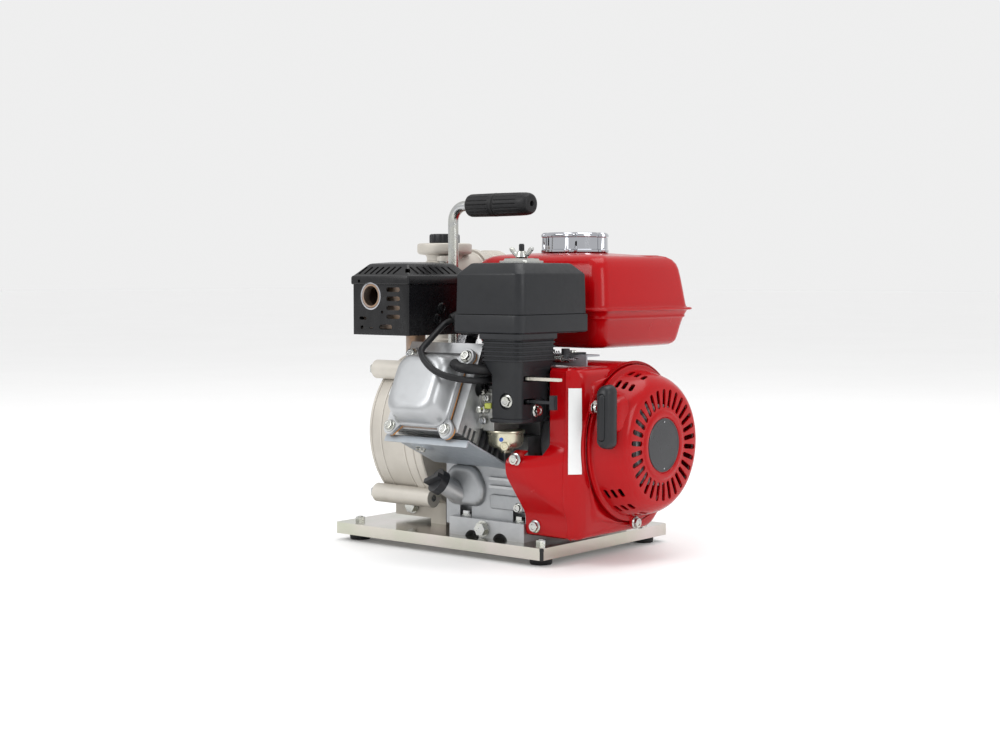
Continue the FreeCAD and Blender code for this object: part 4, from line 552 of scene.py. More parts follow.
def greater(a, b, soft):
    return -lesser(-a, -b, soft)


def polar(outline, count):
    """The reach of a star-shaped outline from its own origin at even angles."""
    reaches = []
    size = len(outline)
    for angle in around(count):
        way = Vector(spoke(angle, 1))
        best = 0.0
        for step in range(size):
            a = Vector(outline[step])
            edge = Vector(outline[(step + 1) % size]) - a
            across = way.x * edge.y - way.y * edge.x
            if abs(across) < 1e-9:
                continue
            reach = (a.x * edge.y - a.y * edge.x) / across
            share = (a.x * way.y - a.y * way.x) / across
            if reach > 0 and -1e-6 <= share <= 1 + 1e-6:
                best = max(best, reach)
        reaches.append(best)
    return reaches


def from_polar(reaches):
    return [spoke(angle, reach) for angle, reach in zip(around(len(reaches)), reaches)]


# ---- fan shroud and recoil starter ---------------------------------------------------------

AROUND = 180
SHROUD_OUTLINE = [
    (-94, -98, 6), (-94, -74, 16), (-131, -26, 26), (-131, 44, 26), (-106, 84, 20), (50, 84, 40),
    (82, 52, 40), (92, 14, 40), (92, -38, 40), (70, -76, 34), (44, -98, 26)]
SHROUD_PLAN = [(115, 131), (138, 124), (150, 116), (178, 95), (190, 88)]
RING_REACH = 88.0
SHROUD_ROLL = 11.0
SHROUD_RELIEF = 97.0


def shroud_reaches(x, inset=0.0):
    """How far the shroud stands from the crank axis at each angle, at one depth."""
    sides = polar(soft_outline(SHROUD_OUTLINE, 5), AROUND)
    limit = along_line(SHROUD_PLAN, x)
    reaches = []
    for angle, side in zip(around(AROUND), sides):
        facing = -cos(angle)
        reach = side
        if facing > 0.05:
            height = 105 * sin(angle) / facing
            front = limit - max(0.0, limit - SHROUD_RELIEF) * eased(-14, 4, height)
            reach = lesser(side, front / facing, 7)
        reaches.append(max(reach - inset, RING_REACH + 0.6))
    return reaches


def shroud_roll(x):
    """How far the shroud's rolled front edge has turned in at a depth."""
    past = min(1.0, max(0.0, (x - 176) / SHROUD_ROLL))
    return SHROUD_ROLL * (1 - sqrt(1 - past * past))


def fan_shroud():
    levels = []
    for x in (115, 122, 129, 136, 141, 146, 150, 155, 160, 165, 169):
        levels.append((from_polar(shroud_reaches(x)), x))
    for x, bead in ((170, 0.0), (171, 1.0), (172, 1.0), (173, 0.0), (176, 0.0)):
        levels.append((from_polar(shroud_reaches(x, -bead)), x))
    for step in range(1, 7):
        x = 176 + SHROUD_ROLL * sin(pi / 2 * step / 6)
        levels.append((from_polar(shroud_reaches(x, shroud_roll(x))), x))
    edge = shroud_reaches(187, SHROUD_ROLL)
    for share, x in ((0.35, 187.2), (0.5, 187.6), (0.58, 189.4), (0.66, 190.0), (0.86, 190.0),
                     (0.93, 189.2), (1.0, 187.0)):
        reaches = [reach + (RING_REACH - reach) * share for reach in edge]
        levels.append((from_polar(reaches), x))
    for radius, x in ((86.2, 186.6), (80, 187.0), (78, 188.0)):
        levels.append((circle(radius, AROUND), x))
    shell = Shape().stack(levels, seat=along_x(), caps=(False, False))
    shell.without(lambda p: p.x < 150 and p.y < -80 and p.z > -6)
    piece("fan_shroud_pressing", shell, "fan_shroud", wall=1.6, smooth=40, even=False)


def shroud_side(x, z):
    """The shroud's front surface at a place: its y."""
    reaches = shroud_reaches(x, shroud_roll(x))
    best = -95.0
    outline = from_polar(reaches)
    for (y_a, z_a), (y_b, z_b) in zip(outline, outline[1:]):
        if y_a < -0.3 * hypot(y_a, z_a) and z_a != z_b:
            if min(z_a, z_b) <= z <= max(z_a, z_b):
                best = y_a + (y_b - y_a) * (z - z_a) / (z_b - z_a)
    return best


def shroud_label():
    """A blank strip laid on the shroud's slope."""
    rows = []
    for z in range(-27, 65, 7):
        row = []
        for step in range(5):
            x = 175 + step * 2.5
            row.append((x, shroud_side(x, z) - 0.8, z))
        rows.append(row)
    strip = Shape().rings(rows, caps=(False, False), closed=False)
    piece("shroud_label_blank", strip, finish=LABEL, wall=0.25)


RECOIL_OUTER = [
    (85.5, 190.1), (85.5, 192.4), (84.9, 193), (81.6, 193.1), (80.4, 193.8), (80, 195.2),
    (79.4, 199), (78.2, 205), (76.4, 212), (74, 218.5), (71, 223.6), (67.6, 227.2), (64.4, 229.2),
    (61, 229.9), (50, 230), (38.6, 229.6), (37.6, 229.8), (36.6, 230.7), (35.4, 231), (31.8, 231),
    (30.6, 230.7), (29.8, 229.6), (14, 229.5), (4, 229.5)]
FACE_VENTS = 30
LUG_ANGLES = (150, 270, 30)
LUG_REACH = 87.5
PULL_HEIGHT = 35


def recoil_side(x):
    return along_line([(height, radius) for radius, height in RECOIL_OUTER[5:13]], x)


def recoil_slots():
    """The ring of vents in the face and the two rows of vents on the sloping side."""
    tools = Shape()
    spacing = 360 / FACE_VENTS
    for index in range(FACE_VENTS):
        tools.prism(slot_outline(20.5, 5.3, (50.5, 0)), 222, 236,
                    seat=turned((index + 0.5) * spacing, "X") @ along_x())
    for first, last in ((103, 141), (219, 257)):
        for index in range(3):
            for row, (x, long) in enumerate(((199.5, 13.5), (207.5, 13), (215.5, 12))):
                y, z = spoke(radians(first + (last - first) * index / 2), 1)
                reach = recoil_side(x)
                slope = (0.16, 0.24, 0.4)[row]
                out = Vector((slope, y, z)).normalized()
                side = Vector((0, -z, y))
                axes = Matrix((side, out.cross(side), out)).transposed().to_4x4()
                tools.prism(slot_outline(long, 4.6), -8, 8,
                            seat=shift(x, y * reach, z * reach) @ axes @ turned(6, "Z"))
    return tools


def recoil_housing():
    seat = along_x()
    shell = Shape().stack(
        [(circle(radius, 144), x) for radius, x in RECOIL_OUTER], seat=seat, caps=(False, True))
    piece("recoil_cover", shell, "recoil_housing", wall=1.8, cut=recoil_slots(), smooth=38)
    fittings = Shape()
    for angle in LUG_ANGLES:
        y, z = spoke(radians(angle), LUG_REACH)
        pad = soft_outline([(-8.5, -2, 6), (0, -8.5, 8), (8.5, -2, 6), (7, 12, 3), (-7, 12, 3)])
        fittings.stack(bulged(pad, 190.1, 193.4, 0.8),
                       seat=shift(0, y, z) @ turned(angle + 90, "X") @ along_x())
    guide = soft_outline([(-20, -9, 7), (20, -9, 7), (15, 9.5, 7), (-15, 9.5, 7)])
    seat = upright((214, 0, PULL_HEIGHT))
    fittings.stack([
        ([(u * 1.25, v * 1.1) for u, v in guide], 58), ([(u * 1.1, v) for u, v in guide], 68),
        (guide, 74), ([(u * 0.8, v * 0.86) for u, v in guide], 77.6),
        ([(u * 0.3, v * 0.3) for u, v in guide], 78)], seat=seat)
    piece("recoil_lugs", fittings, like="recoil_housing", edge=0.5)
    core = Shape().lathe([(7, 205), (7, 229)], 32, seat=along_x())
    piece("recoil_post", core, like="recoil_housing", edge=0.4)


def recoil_badge():
    """A blank disc with a fine rim."""
    seat = along_x()
    disc = Shape().lathe(
        [(29, 229.6), (29, 230.3), (28.4, 230.7), (27.2, 230.7), (26.8, 230.4), (10, 230.6)], 96,
        seat=seat)
    piece("badge_blank", disc, "recoil_badge")
    screws = Shape()
    for z in (-25.2, 25.2):
        screws.lathe([(0.9, 230.2), (0.9, 230.8), (0.5, 230.95)], 16, seat=shift(0, 0, z) @ seat)
    piece("badge_pins", screws, finish=FINISHES["steel_bright"])


def starter_grip():
    outline = rounded(-34, 34, -9.4, 9.4, 9.2, 8)
    inner = rounded(-25, 25, -4.6, 4.6, 4.5, 8)
    seat = upright((216, 0, PULL_HEIGHT))
    levels = stepped(outline, [(4, 78.8), (1.2, 80), (0, 83), (0.4, 88), (1.6, 93), (3.2, 95.6)])
    levels += stepped(inner, [(0, 96.2), (0.5, 95.6), (1.2, 97.4), (2.2, 98.4), (3.4, 98.6)])
    bowed = []
    for outline_at, depth in levels:
        bowed.append([(u, v, depth - 2.6 * (abs(u) / 34) ** 3) for u, v in outline_at])
    grip = Shape().rings(bowed, seat=seat)
    piece("pull_grip", grip, "starter_grip", body="grip", smooth=50)


def cover_bolts():
    bolts = Shape()
    for angle in LUG_ANGLES:
        y, z = spoke(radians(angle), LUG_REACH)
        bolts.bolt((193.2, y, z), STARTER_SIDE, 10, 4.8)
    bolts.bolt((128, -94, -87), FRONT, 10, 4.9)
    bolts.bolt((126, -125.4, -12), FRONT, 10, 5.2, 7)
    piece("cover_bolt_heads", bolts, "cover_bolts", smooth=30)


# ---- fuel tank -----------------------------------------------------------------------------

TANK = (-42, 156.5, -14, 168)
FILLER = (51, 78, 0)


def tank_outline(inset, radius):
    left, right, front, back = TANK
    return rounded(left + inset, right - inset, front + inset, back - inset, radius, 8)


def sculpted(rings):
    """Presses a long shallow shoulder into the tank's top edge on the starter side."""
    shaped = []
    for ring in rings:
        moved = []
        for x, y, z in ring:
            window = eased(22, 40, y) * (1 - eased(124, 138, y)) * eased(70, 110, x)
            height = eased(180, 195, z) * (1 - eased(206, 208.6, z) * 0.6)
            crown = 1.2 * eased(202, 208, z) * max(0.0, 1 - hypot(x - 56, y - 78) / 96)
            moved.append((x - 6.5 * window * height, y, z + crown - 2.6 * window * height))
        shaped.append(moved)
    return shaped


def fuel_tank():
    levels = [
        (34, 101, 10), (21, 101.1, 14), (15.4, 102, 15), (11.8, 104, 16), (9.6, 107, 16),
        (8.2, 112, 16), (6, 123, 16), (3.6, 132.6, 16), (3.0, 133.6, 16), (2.0, 134.4, 16),
        (1.8, 135.6, 16), (2.2, 136.6, 16), (1.4, 138.4, 16), (0.2, 141.4, 16), (-0.6, 142.3, 16),
        (-3.6, 142.6, 18), (-4.8, 143.2, 19), (-5, 144, 19), (-4.8, 144.8, 19), (-3.6, 145.4, 18),
        (-0.4, 145.7, 16), (0.6, 146.6, 16), (1.4, 150, 16), (3.6, 166, 16), (5.8, 181, 16),
        (7.4, 190, 16), (9.4, 196, 16), (12.8, 200.8, 16), (18, 204.2, 16), (26, 206.2, 16),
        (38, 207.4, 14), (56, 208, 12), (74, 208.6, 8), (88, 208.8, 2)]
    rings = [[(x, y, z) for x, y in tank_outline(inset, radius)] for inset, z, radius in levels]
    tank = Shape().rings(sculpted(rings))
    tank.lathe([(26, 207.2), (24.4, 210.2), (22.6, 210.6), (22, 211), (22, 211.8), (20, 212)], 64,
               seat=shift(*FILLER))
    piece("tank_pressings", tank, "fuel_tank", smooth=60)


def fuel_cap():
    lobes = 6
    count = 192
    reaches = []
    for angle in around(count):
        off = (angle + pi / lobes) % (2 * pi / lobes) - pi / lobes
        reach = 40.0
        if abs(sin(off)) * 45 < 9:
            bite = 45 * cos(off) - sqrt(81 - (45 * sin(off)) ** 2)
            reach = lesser(reach, bite, 1.2)
        reaches.append(min(reach, 39.9))

    def ring(shrink):
        return from_polar([reach - shrink for reach in reaches])

    levels = [(ring(shrink), z) for shrink, z in (
        (3.4, 209), (1.0, 209.1), (0.1, 210), (0.1, 212.2), (1.1, 213.0), (1.3, 226.6),
        (0.2, 227.4), (0.1, 229.4), (1.0, 231), (2.6, 232.2), (4.6, 232.5), (7, 232.2), (9.4, 231.2))]
    levels += [(circle(20, count), 230.9), (circle(9, count), 231.2)]
    cap = Shape().stack(levels, seat=shift(*FILLER))
    piece("tank_cap", cap, "fuel_cap", body="fuel_lid", smooth=40)


# ---- air cleaner ---------------------------------------------------------------------------

STUD = (104, -88, 0)


def cut_corners(left, right, front, back, chamfer, radius):
    """A rectangle with crisp corners, one of which (right, front) is a broad round column."""
    points = [(left, front, radius), (right, front, chamfer), (right, back, radius),
              (left, back, radius)]
    return soft_outline(points, 7)


def air_cleaner_cover():
    def ring(inset):
        return cut_corners(59.5 + inset, 148.5 - inset, -145.5 + inset, -30.5 - inset,
                           11.0 - inset * 0.2, 2.2)

    levels = [(ring(inset), z) for inset, z in (
        (0.6, 141.2), (0.1, 141.6), (0.0, 143), (0.8, 182.6), (1.1, 184), (1.9, 185.2),
        (10.6, 194.2), (11.8, 195.2), (13.4, 195.7), (30, 196))]
    piece("cleaner_cover", Shape().stack(levels), "air_cleaner_cover", smooth=24)
    plate = Shape()
    outline = rounded(STUD[0] - 19, STUD[0] + 19, STUD[1] - 18.5, STUD[1] + 18.5, 6)
    plate.stack(stepped(outline, [
        (0, 195.8), (0, 197.6), (0.6, 198.2), (4.4, 198.4), (5.6, 200.4), (6.4, 200.9), (12, 201)]))
    piece("cleaner_washer", plate, finish=ZINC, smooth=40)


def air_cleaner_base():
    def band(inset):
        return cut_corners(58 + inset, 150 - inset, -147 + inset, -29 - inset, 11.5, 2.4)

    tray = Shape()
    tray.stack([(band(inset), z) for inset, z in (
        (14, 121), (2.2, 121), (0.8, 121.6), (0, 122.8), (0.0, 139.6), (0.4, 140.7), (1.2, 141),
        (20, 141.1))])
    tray.prism(rounded(101, 106, -130, -90, 2), 29, 57)
    tray.lathe([(3, 190), (3, 215.2), (2.2, 216.5)], 24, seat=shift(*STUD))
    piece("cleaner_tray", tray, "air_cleaner_base", smooth=24)
    shape = Shape()

    def duct(inset, flare):
        left = 104.4 + inset - 12 * flare
        right = 148 - inset - 3.4 * (1 - flare)
        front = -147 + inset + 3.2 * (1 - flare)
        return cut_corners(left, right, front, -88.5 - inset + 8 * flare, 8.5, 2.6)

    levels = [(5, 0, 27), (2.4, 0, 27.1), (0.9, 0, 27.8), (0.2, 0, 29), (0.2, 0, 31.4),
              (1.8, 0.0, 32.2), (1.8, 0.04, 78), (1.8, 0.7, 90)]
    for z in (92, 96.6, 101.2, 105.8, 110.4):
        levels += [(1.8, 0.8, z), (0.5, 0.8, z + 0.5), (0.5, 0.8, z + 2.3), (1.8, 0.8, z + 2.8)]
    levels += [(1.8, 1, 115.2), (0.2, 1, 115.6), (0, 1, 121.2)]
    shape.stack([(duct(inset, flare), z) for inset, flare, z in levels])
    tools = Shape()
    tools.lathe([(8.6, 139.4), (9.4, 150)], 40, seat=along_y((126.5, 0, 50.5)))
    tools.prism(rounded(-121, -96, 28, 53, 7), 140.6, 155, seat=along_x())
    tools.prism(rounded(-117, -80, 60.5, 85, 4), 143.4, 155, seat=along_x())
    for z in (74, 50):
        tools.prism(rounded(-133, -114, z - 3, z + 3, 1.4), 131, 155, seat=along_x())
    piece("intake_elbow", shape, like="air_cleaner_base", cut=tools, smooth=24, solver="MANIFOLD")
    bolt_heads("elbow_bolts", [
        ((126.5, -139.6, 50.5), FRONT, 10, 4.8, 7),
        ((140.8, -109, 39.5), STARTER_SIDE, 10, 4.8, 7)])


def wing_nut():
    nut = Shape()
    seat = shift(*STUD)
    lift = 3.7
    nut.lathe([(6.6, 197.7 + lift), (7, 198.6 + lift), (6.4, 200.4 + lift), (5, 203.6 + lift),
               (4.6, 204.8 + lift), (3.8, 205.2 + lift)], 32, seat=seat)
    for side in (-1, 1):
        profile = [(3.5, 199.4, 1), (9, 199.2, 2), (16.6, 206.5, 2.4), (15.4, 209.6, 1.8),
                   (11, 208.6, 2), (7.4, 203.6, 3), (3.5, 202.8, 1)]
        wing = soft_outline([(side * u, v + lift, r) for u, v, r in profile], 4)
        if side < 0:
            wing = wing[::-1]
        nut.stack(bulged(wing, -STUD[1] - 1.5, -STUD[1] + 1.5, 1.0, 3, 1.0),
                  seat=along_y((STUD[0], 0, 0)))
    piece("cleaner_wing_nut", nut, "wing_nut", body="cleaner_nut", smooth=40)


# ---- muffler guard -------------------------------------------------------------------------

OUTLET = (-50.3, 0, 159.8)


def muffler_guard():
    def ring(inset):
        return rounded(-78 + inset, 6 - inset, -162 + inset, -58 - inset, 2.4, 5)

    slope = 12.4
    levels = [(ring(inset), z) for inset, z in (
        (0, 117), (0, 172.4), (-1.2, 172.8), (-1.7, 173.8), (-1.7, 180.2), (-1.0, 181.8),
        (0.6, 182.8), (slope - 0.8, 194.0), (slope + 0.6, 195.2), (slope + 2.4, 195.8),
        (30, 197.4))]
    shell = Shape().stack(levels, caps=(False, True))
    tools = Shape()
    tools.lathe([(15.2, 150), (15.2, 170)], 48, seat=along_y(OUTLET))
    for x, z, radius in ((-66.3, 176.3, 1.8), (-32.9, 142.4, 1.8), (-63.6, 125.3, 2.2)):
        tools.lathe([(radius, 155), (radius, 170)], 20, seat=along_y((x, 0, z)))
    for x, z, long, wide in (
            (-16.4, 167, 20, 5), (-16.4, 157, 20, 5), (-16.4, 147, 20, 5), (-16.4, 137.4, 20, 4.6),
            (-62, 135.3, 11, 3.4), (-49.7, 124.6, 5, 1.6), (-27.8, 126, 19, 5.4)):
        tools.prism(slot_outline(long, wide, (x, z)), 150, 170, seat=along_y())
    tools.prism(rounded(-2.6, 2.6, -3.6, 3.6, 0.8), -14, 14,
                seat=shift(0, -156, 188) @ turned(45, "Z") @ turned(52, "X"))
    for index in range(7):
        front = shift(-67 + index * 8.6, -155.8, 187.6) @ turned(45, "X") @ turned(-28, "Z")
        side = shift(-0.2, -146 + index * 10.4, 187.6) @ turned(45, "Y") @ turned(28, "Z")
        tools.prism(slot_outline(3.2, 12.5), -6, 6, seat=front)
        tools.prism(slot_outline(12.5, 3.2), -6, 6, seat=side)
    piece("muffler_heat_guard", shell, "muffler_guard", wall=1.4, cut=tools, smooth=24)
    rim = Shape()
    rim.hoop([(15.4, 161.0), (15.4, 161.9), (13.6, 162), (13.2, 161.4), (13.2, 150),
              (14.6, 150), (14.6, 161)], 48, seat=along_y(OUTLET))
    piece("muffler_outlet_ring", rim, finish=FINISHES["steel_bright"])
    bolt_heads(
        "guard_screws",
        [((6.0, y, z), STARTER_SIDE, 8, 4, 6) for y, z in ((-108, 146.5), (-115, 134.4))],
        finish=FINISHES["black_paint"])


# ---- cylinder head -------------------------------------------------------------------------

COVER_MIDDLE = (30, -14, 0)
COVER_SEAT = 161.5


def eared(half_u, half_v, corner, ear_u, ear_v, ear_radius, soft, inset=0.0):
    """A rounded rectangle with an ear at each corner, as an outline about its middle."""
    count = 192
    plain = polar(rounded(-half_u, half_u, -half_v, half_v, corner, 6), count)
    reaches = []
    far = hypot(ear_u, ear_v)
    for angle, reach in zip(around(count), plain):
        for su in (-1, 1):
            for sv in (-1, 1):
                off = angle - atan2(sv * ear_v, su * ear_u)
                across = far * sin(off)
                if cos(off) > 0 and abs(across) < ear_radius:
                    ear = far * cos(off) + sqrt(ear_radius ** 2 - across ** 2)
                    reach = greater(reach, ear, soft)
        reaches.append(reach)
    return offset(from_polar(reaches), inset) if inset else from_polar(reaches)


def valve_cover():
    seat = HEAD @ shift(*COVER_MIDDLE)
    base = COVER_SEAT
    shape = Shape()
    flange = [eared(39, 40, 13, 39.5, 42, 9.4, 5, inset=inset) for inset in (0.5, 0.0, 0.0, 0.7)]
    levels = list(zip(flange, (base, base + 0.5, base + 4.2, base + 4.9)))
    shape.stack(levels, seat=seat)
    count = 192

    def dome(inset, corner):
        return from_polar(
            polar(rounded(-38 + inset, 38 - inset, -39 + inset, 39 - inset, corner, 8), count))

    shape.stack([(dome(inset, corner), base + 4.6 + rise) for inset, corner, rise in (
        (-0.6, 15, 0), (-0.6, 15, 1.4), (0.2, 15, 2.2), (0.9, 15, 3.6), (1.4, 15, 7), (3.0, 16, 14),
        (4.3, 16, 19), (5.6, 16, 22.4), (7.8, 16, 25), (11, 16, 26), (15, 15, 26.2),
        (26, 10, 26.3))], seat=seat)
    piece("rocker_cover", shape, "valve_cover", smooth=35)
    gasket = Shape()
    outline = eared(38.6, 39.6, 13, 39.5, 42, 9.2, 5)
    gasket.stack([(outline, base - 1.5), (outline, base)], seat=seat)
    piece("rocker_gasket", gasket, "valve_cover_gasket")
    bolt_heads("rocker_cover_bolts", [
        (seat @ Vector((u, v, base + 4.9)), HEAD.col[2].xyz, 10, 5, 7) for u in (-39.5, 39.5)
        for v in (-42, 42)], "valve_cover_bolts")


def cylinder_side_plate():
    """The painted cowl under the barrel: a sheet with a turned lip and a raised boss."""
    def height(x, out):
        boss = 1 - eased(7, 15, hypot(x - 8, out - 128))
        sweep = 1.2 * eased(60, 96, x)
        return 3.2 * boss + sweep

    rows = []
    for out in (70, 84, 98, 106, 112, 116, 120, 124, 128, 132, 136, 140, 144, 150, 154):
        row = []
        for step in range(41):
            x = -20 + 118 * step / 40
            row.append((x, -62 - height(x, out), out))
        rows.append(row)
    for drop, out in ((0.6, 156.4), (2.2, 157.6), (4.5, 158), (9, 158)):
        rows.append([(x, -62 - drop, out) for x, _, _ in rows[0]])
    sheet = Shape().rings(rows, seat=HEAD, caps=(False, False), closed=False)
    piece("barrel_cowl", sheet, "cylinder_side_plate", wall=1.6, smooth=40)
    bolt_heads("cowl_bolt", [(HEAD @ Vector((8, -65.2, 128)), -HEAD.col[1].xyz, 10, 4.5, 7)])


# ---- handle, manifold and pump -------------------------------------------------------------

GRIP_HEIGHT = 262.0
RISER_X = -84
LUG_TURN = degrees(-0.87)
BRANCH_HEIGHT = 183.5


def handle_grip():
    """A moulded rubber grip: two fluted lengths, a ring between them and a rounded end."""
    stations = [
        (-12, 9.6, 0), (-11.6, 11, 0), (-10.4, 12.3, 0), (-8.6, 12.9, 0), (-7.4, 13, 1),
        (20.6, 13.2, 1), (22, 13.2, 0), (23.4, 12.5, 0), (24.2, 12.5, 0), (24.9, 13.3, 0),
        (27.9, 13.3, 0), (28.6, 12.5, 0), (29.4, 12.5, 0), (30.8, 13.2, 0), (32.2, 13.2, 1),
        (62, 13, 1), (64, 12.9, 0), (70, 12.7, 0), (74, 12.1, 0), (76.4, 11, 0), (77.6, 9.4, 0),
        (78, 7.4, 0), (77.8, 3.4, 0), (77.2, 2.9, 0), (73, 2.6, 0)]
    count = 224
    levels = []
    for x, radius, fluted in stations:
        flutes = [max(0.0, cos(16 * angle)) ** 4 * 1.1 * fluted for angle in around(count)]
        levels.append((from_polar([radius - flute for flute in flutes]), x))
    grip = Shape().stack(levels, seat=along_x((0, -37, GRIP_HEIGHT)))
    piece("carrying_grip", grip, "handle_grip", smooth=38)


def thread(radius, start, end):
    """The profile of an outside thread drawn as even ridges."""
    pitch = 2.3
    deep = 1.0
    profile = []
    height = start
    while height + pitch <= end:
        profile += [(radius - deep, height), (radius, height + pitch * 0.45),
                    (radius, height + pitch * 0.6)]
        height += pitch
    return profile + [(radius - deep, min(end, height))]


def discharge_manifold():
    shape = Shape()
    seat = shift(RISER_X, 0, 0)
    shape.lathe([
        (25.5, 101), (25.5, 106.6), (24.6, 107.6), (22.4, 108.4), (21.6, 111), (20.8, 150),
        (20.6, 198), (21.4, 204.6), (23, 206.6), (28.6, 207.4), (31, 208.2), (32.2, 209.6),
        (32.5, 211.4), (32.5, 218), (32, 219.4), (30.8, 220.3), (29.4, 220.5), (21.5, 220.5),
        (21, 220), (20, 219.8)], 72, seat=seat)
    lug = slot_outline(62, 17)
    shape.stack(bulged(lug, 199.4, 205.6, 1.0), seat=seat @ turned(LUG_TURN, "Z"))
    piece("riser_and_disc", shape, "discharge_manifold")
    branch = Shape()
    ball = [(27 * sin(pi / 2 * step / 8) + 0.05, -27 * cos(pi / 2 * step / 8)) for step in range(9)]
    profile = ball + [(27, 43), (28, 44.6), (30.4, 45), (31, 45.6), (31, 52.4), (30.4, 53),
                      (28.4, 53.4), (28, 54.6), (28, 72)] + thread(29.8, 73, 96.4)
    profile += [(28, 97), (24.6, 97), (24, 96.4), (24, 60), (22, 40), (6, 38)]
    branch.lathe(profile, 72, seat=aimed((RISER_X, 0, BRANCH_HEIGHT), (0, 1, 0)))
    piece("discharge_branch", branch, like="discharge_manifold")
    lug_seat = shift(RISER_X, 0, 198.8) @ turned(LUG_TURN, "Z")
    bolt_heads(
        "manifold_bolts", [(lug_seat @ Vector((u, 0, 0)), (0, 0, -1), 8, 5, 6) for u in (-26, 26)])


def priming_cap():
    count = 144
    outline = from_polar([18 - 1.1 * max(0.0, cos(12 * angle)) ** 3 for angle in around(count)])
    seat = shift(RISER_X, 0, 0)
    levels = stepped(
        outline, [(0.8, 220.8), (0, 221.6), (0, 229.6), (0.6, 230.9), (1.8, 231.6), (4, 231.7)])
    levels += [(circle(12.6, count), 231.6), (circle(12, count), 230.2)]
    cap = Shape().stack(levels, seat=seat)
    cap.stack(bulged(slot_outline(25, 6.4, steps=10), 228, 231.7, 1.2), seat=seat)
    piece("priming_knob", cap, "priming_cap", body="priming_lid")


def pump_details():
    """Machined steps on the casing, the suction thread and the blank label patches."""
    seat = along_x()
    steps = Shape()
    for x in (-116.5, -101, -66):
        steps.hoop([(92.6, x - 1.4), (93.6, x - 0.9), (93.6, x + 0.9), (92.6, x + 1.4)], 144,
                   seat=seat)
    steps.hoop([(90, -60.6), (96, -60.4), (96.4, -59.6), (96.4, -49.4), (95.9, -48.8),
                (90, -48.8)], 144, seat=seat)
    piece("casing_steps", steps, like="pump_casing")
    adapter = Shape()
    adapter.hoop([(90, -47.2), (95.9, -47.2), (96.4, -46.6), (96.4, -38.6), (95.8, -37.8),
                  (90, -37.6)], 144, seat=seat)
    # The thin recessed ring in the joint takes the second finish, a black that paints the shade in the
    # gap.
    adapter.hoop([(93, -48.9), (95.2, -48.9), (95.2, -47.1), (93, -47.1)], 144, 1, seat=seat)
    piece("adapter_band", adapter, like="pump_adapter", extra=(PAINTED_SHADE_BLACK,))
    ridges = Shape()
    profile = thread(30.2, -171.4, -149) + [(28.6, -148.6), (28.6, -172)]
    ridges.hoop(profile, 96, seat=seat)
    piece("suction_thread", ridges, like="pump_casing")
    patches = Shape()
    for start, end, paint in ((133, 152, 0), (124, 132.6, 1)):
        rows = []
        for step in range(9):
            place = spoke(radians(start + (end - start) * step / 8), 93.9)
            rows.append([(x, *place) for x in (-98.5, -80, -68.5)])
        patches.rings(rows, paint, caps=(False, False), closed=False)
    piece("casing_label_blank", patches, finish=LABEL, wall=0.3, extra=(LABEL_ORANGE,))


# ---- crankcase, carburettor and small parts ------------------------------------------------

def crankcase_details():
    front = along_y()
    shape = Shape()
    swell = soft_outline([
        (-4, -74, 14), (50, -74, 20), (54, -50, 18), (40, -28, 16), (6, -28, 18), (-4, -44, 14)], 6)
    shape.stack(bulged(swell, 84, 94.5, 7.5, 6), seat=front)
    for x in (58, 68, 78, 88):
        rib = rounded(x, x + 2.6, -26, -9, 1.2)
        shape.stack(bulged(rib, 64, 88.4, 0.8), seat=front)
    pad = rounded(60, 112, -74, -58, 4)
    shape.stack(bulged(pad, 84, 89.6, 1.5), seat=front)
    for x, z, radius in ((-8, -20, 6), (-8, 22, 6), (101, -70, 6.4), (101, -34, 6)):
        shape.lathe([(radius, 70), (radius, 88.5), (radius - 0.9, 89.4)], 32,
                    seat=along_y((x, 0, z)))
    piece("crankcase_swells", shape, like="engine_block", edge=0.3)
    bolt_heads("crankcase_bolts", [
        ((x, -89.2, z), FRONT, 8, 4.2, 5.6) for x, z in ((-8, -20), (101, -70), (101, -34))])


def float_bowl():
    seat = shift(100, -110, 0)
    bowl = Shape()
    bowl.lathe([(17, 17), (20.4, 17), (20.9, 16.4), (20.9, 14.8), (20, 14.2), (19.6, 12.8),
                (19.4, 6), (18.6, 2.4), (16.6, -0.6), (13, -2.4), (8.6, -3), (8.2, -4.6),
                (7.6, -5.2), (4, -5.2)], 64, seat=seat)
    bowl.nut((100, -110, -8), UP, 10, 3.4)
    bowl.bolt((110, -123.6, 1.6), (0.45, -0.85, -0.2), 8, 4.4, 5.4)
    piece("fuel_bowl", bowl, "float_bowl", smooth=40)
    mark = Shape()
    mark.lathe([(2.3, 0), (2.3, 0.5), (1.9, 0.7)], 24,
               seat=aimed((108.2, -127.6, 8), (0.42, -0.9, 0)))
    blue = finish("paint_mark", (0.015, 0.09, 0.42), 0.4)
    piece("bowl_paint_mark", mark, finish=blue)


